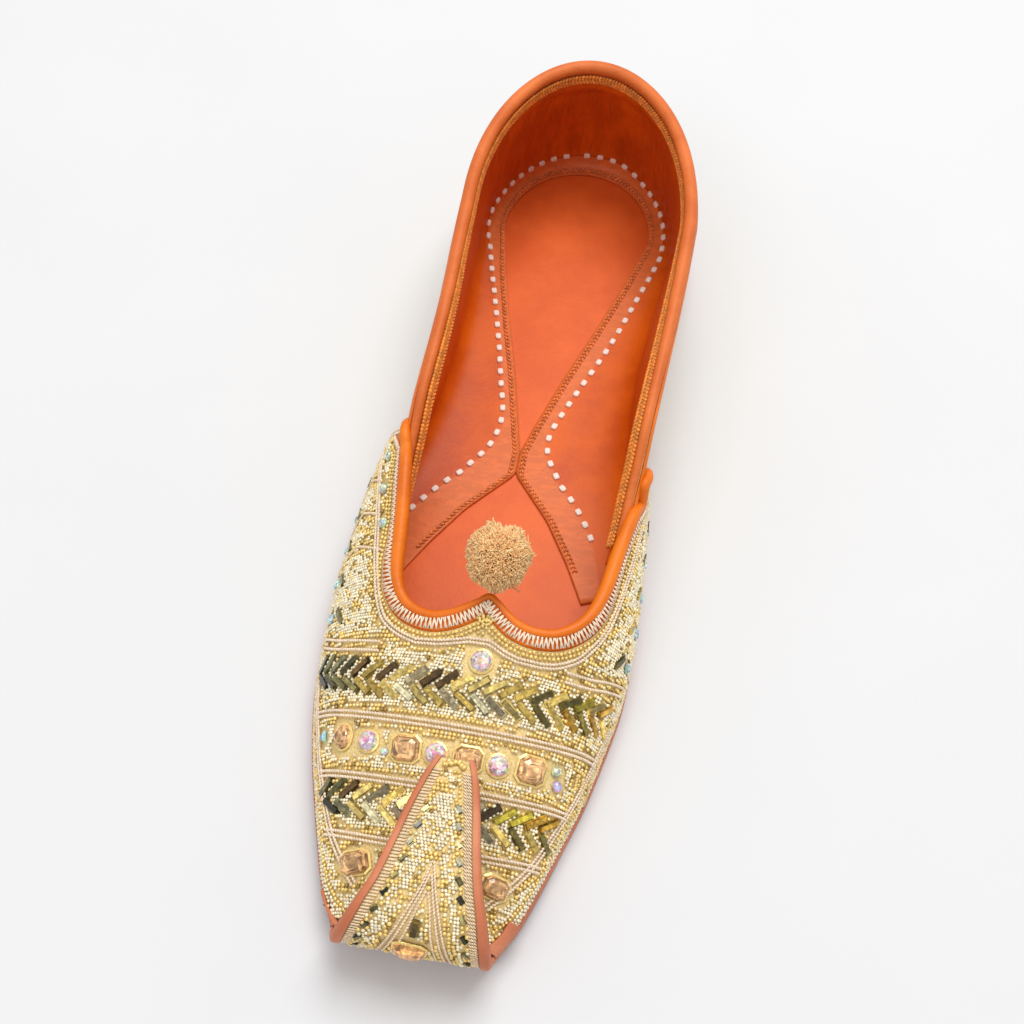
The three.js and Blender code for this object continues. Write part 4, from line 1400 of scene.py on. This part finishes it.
def sew_lining():
    """White running stitches and a gold chain stitch on the turned-in lining."""
    for pairs, low, high in ((LEFT_STITCHES, 0, 0.5), (RIGHT_STITCHES, 0.44, 1)):
        place, down = stitch_line(pairs, low, high)
        line = lining_point(place, down)
        spot, ahead, at = spaced(line, 4.25)
        up = lining_up(place, down)
        up = np.stack([np.interp(at, np.linspace(0, 1, len(place)), up[:, k]) for k in range(3)], 1)
        trays["running"].lay(spot + 0.2 * up, ahead, up, (2.0, 1.6, 1.0), srgb(250, 240, 228) + 0 * spot)
    place = np.linspace(0.02, 0.98, 700)
    edge = lining_point(place, 1 + 0 * place)
    inward = unit(lining_point(place, 0.97 + 0 * place) - edge)
    for reach, lean in ((1.1, -0.5), (1.75, 0.5)):
        spot, ahead, at = spaced(edge + reach * inward, 1.3)
        up = lining_up(np.interp(at, np.linspace(0, 1, 700), place), 0.97 + 0 * at)
        slant = unit(ahead + lean * np.cross(up, ahead))
        tint = srgb(240, 132, 60) * luck.uniform(0.7, 1.15, (len(spot), 1))
        trays["braid"].lay(spot + 0.2 * up, slant, up, (1.7, 0.7, 0.6), tint)


def lining_up(place, down):
    """The lining's normal, towards the foot."""
    place, down = np.clip(place, 0.003, 0.997), np.clip(down, 0.003, 0.997)
    return outward(lining_point, place, down)


def sew_braid():
    """The gold braid inside the topline: three plaits of thread on a leather strip."""
    for level, slant in ((0.0, 1), (0.022, -1), (0.044, 1), (0.066, -1)):
        place = np.linspace(0.012, 0.988, 900)
        line = lining_point(place, level * braid_share(place))
        spot, ahead, at = spaced(line, 1.0)
        here = np.interp(at, np.linspace(0, 1, 900), place)
        share = braid_share(here)
        up = lining_up(here, level * share)
        lean = unit(ahead + slant * 0.85 * np.cross(up, ahead))
        tint = srgb(255, 156, 50) * luck.uniform(0.72, 1.15, (len(spot), 1))
        size = np.stack([0.7 + 1.6 * share, 0.85 + 0 * share, 0.7 + 0.6 * share], 1)
        trays["braid"].lay(spot + 0.5 * up, lean, up, size, tint)

# Finishes


class Wire:
    """A socket on which arithmetic adds Math nodes."""

    def __init__(self, finish, socket):
        self.finish, self.socket = finish, socket

    def math(self, operation, *others):
        values = {k: value for k, value in enumerate((self, *others))}
        return self.finish.node("ShaderNodeMath", {"operation": operation}, values)

    def __add__(self, other):
        return self.math("ADD", other)

    def __sub__(self, other):
        return self.math("SUBTRACT", other)

    def __mul__(self, other):
        return self.math("MULTIPLY", other)

    __radd__, __rmul__ = __add__, __mul__

    def __rsub__(self, other):
        return self.finish.node("ShaderNodeMath", {"operation": "SUBTRACT"}, {0: other, 1: self})

    def clamp(self):
        return self.finish.node("ShaderNodeClamp", {}, {"Value": self})

    def above(self, low, high):
        """0 below low, 1 above high and a soft step between."""
        return self.finish.node("ShaderNodeMapRange", {"interpolation_type": "SMOOTHSTEP"}, {
            "Value": self, "From Min": low, "From Max": high, "To Min": 0.0, "To Max": 1.0})


class Finish:
    """A material that is built up node by node."""

    def __init__(self, name, **numbers):
        self.material = bpy.data.materials.new(name)
        self.material.use_nodes = True
        self.tree = self.material.node_tree
        self.shader = self.tree.nodes["Principled BSDF"]
        self.set(**numbers)

    def plug(self, socket, value):
        if isinstance(value, Wire):
            self.tree.links.new(value.socket, socket)
        elif isinstance(value, (tuple, list, np.ndarray)) and len(value) == 3 and socket.type == "RGBA":
            socket.default_value = (*value, 1.0)
        else:
            socket.default_value = value

    def node(self, kind, settings=None, sockets=None, output=0):
        node = self.tree.nodes.new(kind)
        for name, value in (settings or {}).items():
            if name == "stops":
                ramp = node.color_ramp
                while len(ramp.elements) < len(value):
                    ramp.elements.new(1.0)
                for element, (at, colour) in zip(ramp.elements, value):
                    element.position, element.color = at, (*colour, 1.0)
            else:
                setattr(node, name, value)
        for name, value in (sockets or {}).items():
            self.plug(node.inputs[name], value)
        return Wire(self, node.outputs[output])

    def place(self, scale=(1, 1, 1), turn=(0, 0, 0)):
        """Object coordinates, stretched and turned."""
        here = self.node("ShaderNodeTexCoord", {}, {}, "Object")
        return self.node("ShaderNodeMapping", {"vector_type": "POINT"}, {
            "Vector": here, "Scale": scale, "Rotation": turn})

    def noise(self, scale, detail=3.0, rough=0.55, where=None, twist=0.0):
        return self.node("ShaderNodeTexNoise", {}, {
            "Vector": where or self.place(), "Scale": scale, "Detail": detail, "Roughness": rough,
            "Distortion": twist})

    def cells(self, scale, where=None, feature="F1", output="Distance", spread=1.0):
        return self.node("ShaderNodeTexVoronoi", {"feature": feature}, {
            "Vector": where or self.place(), "Scale": scale, "Randomness": spread}, output)

    def tint(self, name="tint"):
        return self.node("ShaderNodeAttribute", {"attribute_name": name}, {}, "Color")

    def mix(self, factor, one, other, blend="MIX"):
        settings = {"data_type": "RGBA", "blend_type": blend}
        return self.node("ShaderNodeMix", settings, {0: factor, 6: one, 7: other}, 2)

    def bump(self, height, strength, distance, under=None):
        sockets = {"Height": height, "Strength": strength, "Distance": distance}
        if under:
            sockets["Normal"] = under
        return self.node("ShaderNodeBump", {}, sockets)

    def set(self, **values):
        for name, value in values.items():
            self.plug(self.shader.inputs[name.replace("_", " ").title().replace("Ior", "IOR")], value)
        return self


def leather(name, colour, deep, worn, rough=0.46, grain=1500.0, crease=0.35, trim=None):
    """Smooth dyed leather: pores, fine wrinkles, cloudy dye, lighter where rubbed. The lining has trim and
    painted shade in the hollows of its heel pleats.
    """
    finish = Finish(name)
    clouds = finish.noise(55.0, 4.0, 0.6)
    fine = finish.noise(grain, 3.0, 0.6)
    pores = finish.cells(grain * 0.62, where=finish.place())
    wrinkle = finish.noise(grain * 0.16, 4.0, 0.65, finish.place(scale=(1.0, 2.6, 1.4)), twist=0.6)
    base = finish.mix(clouds.above(0.35, 0.68), deep, colour)
    if trim is not None:
        painted = finish.node("ShaderNodeAttribute", {"attribute_name": "shade"}, {}, "Fac")
        scuffed = finish.mix(wrinkle.above(0.4, 0.62), trim * 0.86, trim)
        base = finish.mix(painted, base, scuffed)
    base = finish.mix(fine.above(0.62, 0.78) * 0.35, base, worn)
    finish.set(base_color=base, roughness=rough + 0.14 * (clouds - 0.5) + 0.1 * (fine - 0.5))
    coarse = finish.bump(wrinkle, crease, 0.0004)
    if trim is not None:
        # Upright pleats in the heel, where the lining is drawn round, with painted shade darkening their
        # hollows
        pleats = finish.noise(330.0, 3.0, 0.6, finish.place(scale=(1.0, 1.0, 0.1)), twist=0.3)
        here = finish.node("ShaderNodeSeparateXYZ", {}, {"Vector": finish.place()}, 1)
        in_heel = here.above(0.07, 0.1) * (1.0 - painted)
        finish.set(base_color=finish.mix(in_heel * (1.0 - pleats.above(0.3, 0.62)) * 0.5, base, deep * 0.7))
        coarse = finish.bump(pleats * in_heel, 0.8, 0.0009, coarse)
    finish.set(normal=finish.bump(0.6 * fine + 0.4 * pores, 0.35, 0.00015, coarse))
    finish.set(specular_ior_level=0.3)
    return finish.material


def bead_finish(name, metallic, rough, coat=0.0):
    """Small glass or metal beads, each in its own tint with uneven shine."""
    finish = Finish(name, specular_ior_level=0.7)
    flicker = finish.noise(900.0, 2.0, 0.5)
    shade = finish.mix(flicker.above(0.3, 0.7), (0.84, 0.82, 0.78), (1.0, 1.0, 1.0))
    finish.set(base_color=finish.mix(1.0, finish.tint(), shade, "MULTIPLY"))
    finish.set(roughness=rough + 0.25 * (flicker - 0.5))
    finish.set(metallic=metallic)
    if coat:
        finish.set(coat_weight=coat, coat_roughness=0.08)
    return finish.material


def thread_finish(name, rough=0.62):
    """Twisted cotton or silk thread in its own tint, with fibres along it."""
    finish = Finish(name)
    fibres = finish.noise(2600.0, 2.0, 0.6)
    tone = finish.mix(fibres.above(0.25, 0.7), (0.74, 0.70, 0.66), (1.0, 1.0, 1.0))
    finish.set(base_color=finish.mix(1.0, finish.tint(), tone, "MULTIPLY"), roughness=rough)
    finish.set(normal=finish.bump(fibres, 0.4, 0.0001), sheen_weight=0.25, sheen_roughness=0.4)
    return finish.material


def stone_finish(name, rough=0.06, metallic=0.0, coat=0.35):
    """Foiled glass: clear shine over a tint that changes from facet to facet (the aurora stones' own colours,
    painted facet light and shade on the bars and champagne stones), with painted glints and painted dark
    reflection flecks.
    """
    finish = Finish(name)
    depth = finish.noise(620.0, 2.0, 0.5)
    painted_glint_cells = finish.cells(1500.0, output="Color")
    painted_glint_and_dark_fleck = finish.node("ShaderNodeSeparateColor", {}, {"Color": painted_glint_cells}, "Red")
    inner = finish.mix(depth.above(0.35, 0.65), (0.6, 0.58, 0.56), (1.0, 1.0, 1.0))
    # Painted glints: random flecks brightened past white; painted dark reflections: random flecks darkened.
    inner = finish.mix(painted_glint_and_dark_fleck.above(0.78, 0.9) * 0.6, inner, (1.5, 1.5, 1.45))
    inner = finish.mix((1.0 - painted_glint_and_dark_fleck).above(0.8, 0.9) * 0.45, inner, (0.35, 0.33, 0.3))
    finish.set(base_color=finish.mix(1.0, finish.tint(), inner, "MULTIPLY"))
    finish.set(metallic=metallic, roughness=rough + 0.08 * depth, coat_weight=coat, coat_roughness=0.04)
    finish.set(specular_ior_level=0.5)
    return finish.material


def ground_cloth(name, colour, deep):
    """The dull gold cloth under the beads."""
    finish = Finish(name)
    weave = finish.noise(1900.0, 3.0, 0.6)
    finish.set(base_color=finish.mix(weave.above(0.3, 0.72), deep, colour))
    finish.set(roughness=0.6 + 0.2 * (weave - 0.5))
    finish.set(normal=finish.bump(weave, 0.7, 0.0003), metallic=0.1)
    return finish.material

def floor_paper():
    finish = Finish("floor_paper", roughness=0.85, specular_ior_level=0.2)
    cloud = finish.noise(14.0, 3.0, 0.5)
    finish.set(base_color=finish.mix(cloud, (0.66, 0.66, 0.668), (0.69, 0.69, 0.695)))
    return finish.material


def pompom_core():
    clear_selection()
    bpy.ops.mesh.primitive_ico_sphere_add(subdivisions=4, radius=(POMPOM_RADIUS - 1.6) * MM,
                                          location=placed(POMPOM_CENTRE))
    piece = bpy.context.object
    bpy.ops.object.transform_apply(location=True, rotation=True, scale=True)
    bpy.ops.object.shade_smooth()
    return piece


def yarn_end():
    """One cut end of yarn: a slim pointed lock one millimetre long."""
    clear_selection()
    bpy.ops.mesh.primitive_cone_add(
        vertices=5, radius1=0.5, radius2=0.28, depth=1, rotation=(0, math.pi / 2, 0))
    bpy.ops.object.transform_apply(location=True, rotation=True, scale=True)
    return pattern_of(bpy.context.object)


def sew_pompom():
    count = 5200
    level = 1 - 2 * (np.arange(count) + 0.5) / count
    turn = np.arange(count) * math.pi * (3 - math.sqrt(5))
    flat = np.sqrt(1 - level**2)
    out = np.stack([flat * np.cos(turn), flat * np.sin(turn), level], 1)
    lean = unit(out + luck.normal(0, 0.3, out.shape))
    lump = 0.5 * np.sin(out[:, 0] * 7 + 1) * np.sin(out[:, 1] * 6) + luck.normal(0, 0.4, count)
    lump -= 0.6 * np.exp(-(out[:, 0] / 0.25) ** 2) * np.clip(out[:, 1] + 0.1, 0, 1)
    tip = POMPOM_CENTRE + out * (POMPOM_RADIUS - 0.2 + lump)[:, None] * [0.96, 1.05, 1.0]
    long = luck.uniform(2.0, 3.4, count)
    middle = tip - lean * long[:, None] / 2
    size = np.stack([long, np.full(count, 0.52), np.full(count, 0.52)], 1)
    tone = luck.random((count, 1))
    tint = lerp(srgb(240, 180, 112), srgb(255, 224, 166), tone)
    trays["yarn"].lay(middle, lean, np.cross(lean, [0.2, 0.9, 0.3]), size, tint)


# The shoe is put together

# Each leather's dye, its deeper patches and its rubbed spots
ORANGE = leather(
    "binding_leather", srgb(228, 118, 18), srgb(208, 98, 10), srgb(242, 150, 60), 0.42, crease=0.5)
TOPLINE = leather(
    "topline_leather", srgb(218, 114, 52), srgb(200, 96, 36), srgb(236, 150, 92), 0.5, crease=0.6)
WALL = leather("lining_leather", srgb(216, 96, 8), srgb(196, 78, 4), srgb(230, 118, 28), 0.44, crease=0.2,
               trim=srgb(222, 114, 54))
BED = leather("insole_leather", srgb(226, 104, 40), srgb(214, 92, 30), srgb(236, 128, 66), 0.46, crease=0.12)
SALMON = leather(
    "sole_leather", srgb(208, 130, 94), srgb(188, 106, 70), srgb(226, 158, 124), 0.55, crease=0.4)
RAW_EDGE = leather("raw_edge", srgb(136, 62, 30), srgb(110, 46, 20), srgb(168, 92, 56), 0.7, crease=0.3)
CLOTH = ground_cloth("gold_cloth", srgb(240, 216, 158), srgb(210, 180, 112))
GOLD_BEADS = bead_finish("gold_beads", 0.3, 0.26)
IVORY_BEADS = bead_finish("ivory_beads", 0.05, 0.32, coat=0.3)
CORD_THREAD = thread_finish("ivory_cord", 0.5)
WHITE_THREAD = thread_finish("white_thread", 0.6)
BRAID_THREAD = thread_finish("gold_braid", 0.42)
BAR_GLASS = stone_finish("mirror_bars", 0.08, 0.45)
AURORA_GLASS = stone_finish("aurora_stones", 0.06, 0.1)
CHAMPAGNE_GLASS = stone_finish("champagne_stones", 0.08, 0.1)
YARN = thread_finish("peach_yarn", 0.85)

finish_piece(vamp(), "vamp_leather", [CLOTH, WALL], ["upper"])
finish_piece(quarter(), "quarter_leather", CLOTH, ["upper"])
finish_piece(quarter_band(), "quarter_band", ORANGE)
finish_piece(lining(), "lining_leather", [WALL, RAW_EDGE], ["lining_margin"])
finish_piece(quarter_roll(), "quarter_roll", TOPLINE, ["quarter_binding"])
finish_piece(vamp_roll(), "vamp_roll", ORANGE, ["vamp_binding"])
finish_piece(outsole(), "leather_sole", SALMON, ["outsole"])
finish_piece(insole(), "leather_insole", BED, ["insole"])
finish_piece(toe_curl(), "folded_toe", [CLOTH, SALMON], ["toe_curl"])
finish_piece(pompom_core(), "pompom_core", YARN, ["pompom"])
finish_piece(collar_band(), "collar_band", ORANGE)
for hand, side in (("left", -1), ("right", 1)):
    finish_piece(curl_edge(side), hand + "_curl_edge", SALMON)
    finish_piece(toe_corner(side), hand + "_toe_corner", SALMON)

SHAPES = {
    "gold": (seed_bead(), None, GOLD_BEADS, True), "ivory": (seed_bead(), None, IVORY_BEADS, True),
    "cord": (cord_stitch(), None, CORD_THREAD, True), "stitch": (thread_stitch(), None, WHITE_THREAD, True),
    "running": (running_stitch(), None, WHITE_THREAD, True),
    "braid": (seed_bead(), None, BRAID_THREAD, True), "yarn": (yarn_end(), None, YARN, True),
    "bar": (baguette(), BAR_FACET_LIGHT_AND_SHADE, BAR_GLASS, False),
    "round": (faceted_stone(12, 0.5, 0.34, 1), AURORA, AURORA_GLASS, False),
    "cool": (faceted_stone(3, 0.5, 0.3, 0), COOL_AURORA, AURORA_GLASS, False),
    "octagon": (faceted_stone(4, 0.5, 0.36, 0), CUT_FACET_LIGHT_AND_SHADE, CHAMPAGNE_GLASS, False),
    "oval": (faceted_stone(12, 0.5, 0.34, 1), CUT_FACET_LIGHT_AND_SHADE, CHAMPAGNE_GLASS, False),
    "square_setting": (faceted_stone(4, 0.8, 0.2, 0), None, GOLD_BEADS, False),
    "round_setting": (faceted_stone(16, 0.8, 0.2, 0), None, GOLD_BEADS, False),
}


def fresh_trays():
    taken.clear()
    for name, (pattern, facet_colours_and_light, _, _) in SHAPES.items():
        trays[name] = Tray(pattern, facet_colours_and_light)


def sew_trays(where, slot):
    """Joins what lies on each tray into one piece."""
    for name, (_, _, finish, smooth) in SHAPES.items():
        if trays[name].lots:
            trays[name].sew(where + "_" + name, slot, finish, smooth)


fresh_trays()
for reach in (0.0, 0.35, 0.7):
    keep_clear(vamp_ground.at(*edge_line(band_width() * reach + 0.01), 0.5), 1.8)
sew_vamp()
sew_ground(vamp_ground, vamp_rows, VAMP_TOP + 0.5)
sew_zigzag()
sew_trays("vamp", "embroidered_leather")
fresh_trays()
sew_quarter()
sew_ground(quarter_ground, quarter_rows, 0.25)
sew_trays("quarter", "embroidered_leather")
fresh_trays()
sew_curl()
sew_ground(curl_ground, curl_rows, 1.45)
sew_trays("curl", "embroidered_leather")
fresh_trays()
sew_lining()
sew_braid()
sew_trays("lining", "lining_leather")
fresh_trays()
sew_pompom()
sew_trays("pompom", "pompom_yarn")

# Floor, light and camera

clear_selection()
bpy.ops.mesh.primitive_plane_add(size=6)
floor = bpy.context.object
floor.name = "floor"
floor.data.materials.append(floor_paper())


def softbox(name, place, aim, size, power):
    data = bpy.data.lights.new(name, "AREA")
    data.shape, data.size, data.energy = "SQUARE", size, power
    light = bpy.data.objects.new(name, data)
    bpy.context.scene.collection.objects.link(light)
    light.location = place
    light.rotation_euler = (Vector(aim) - Vector(place)).to_track_quat("-Z", "Y").to_euler()


bpy.context.scene.view_settings.view_transform = "Standard"
softbox("key_light", (0.2, 0.5, 1.5), (0, 0, 0), 0.9, 19)
softbox("fill_light", (-0.4, -0.7, 1.2), (0, 0, 0), 0.6, 3)
world = bpy.data.worlds.new("studio")
bpy.context.scene.world = world
world.use_nodes = True
world.node_tree.nodes["Background"].inputs["Color"].default_value = (1, 1, 1, 1)
world.node_tree.nodes["Background"].inputs["Strength"].default_value = 0.62

CAMERA_PLACE = (0.03261, -0.18288, 0.32091)
CAMERA_AIM = (0.002, -0.013, 0.015)
camera_data = bpy.data.cameras.new("camera")
camera = bpy.data.objects.new("camera", camera_data)
bpy.context.scene.collection.objects.link(camera)
camera.location = CAMERA_PLACE
camera.rotation_euler = (Vector(CAMERA_AIM) - Vector(CAMERA_PLACE)).to_track_quat("-Z", "Y").to_euler()
camera_data.lens = 47
camera_data.clip_start = 0.01
bpy.context.scene.camera = camera
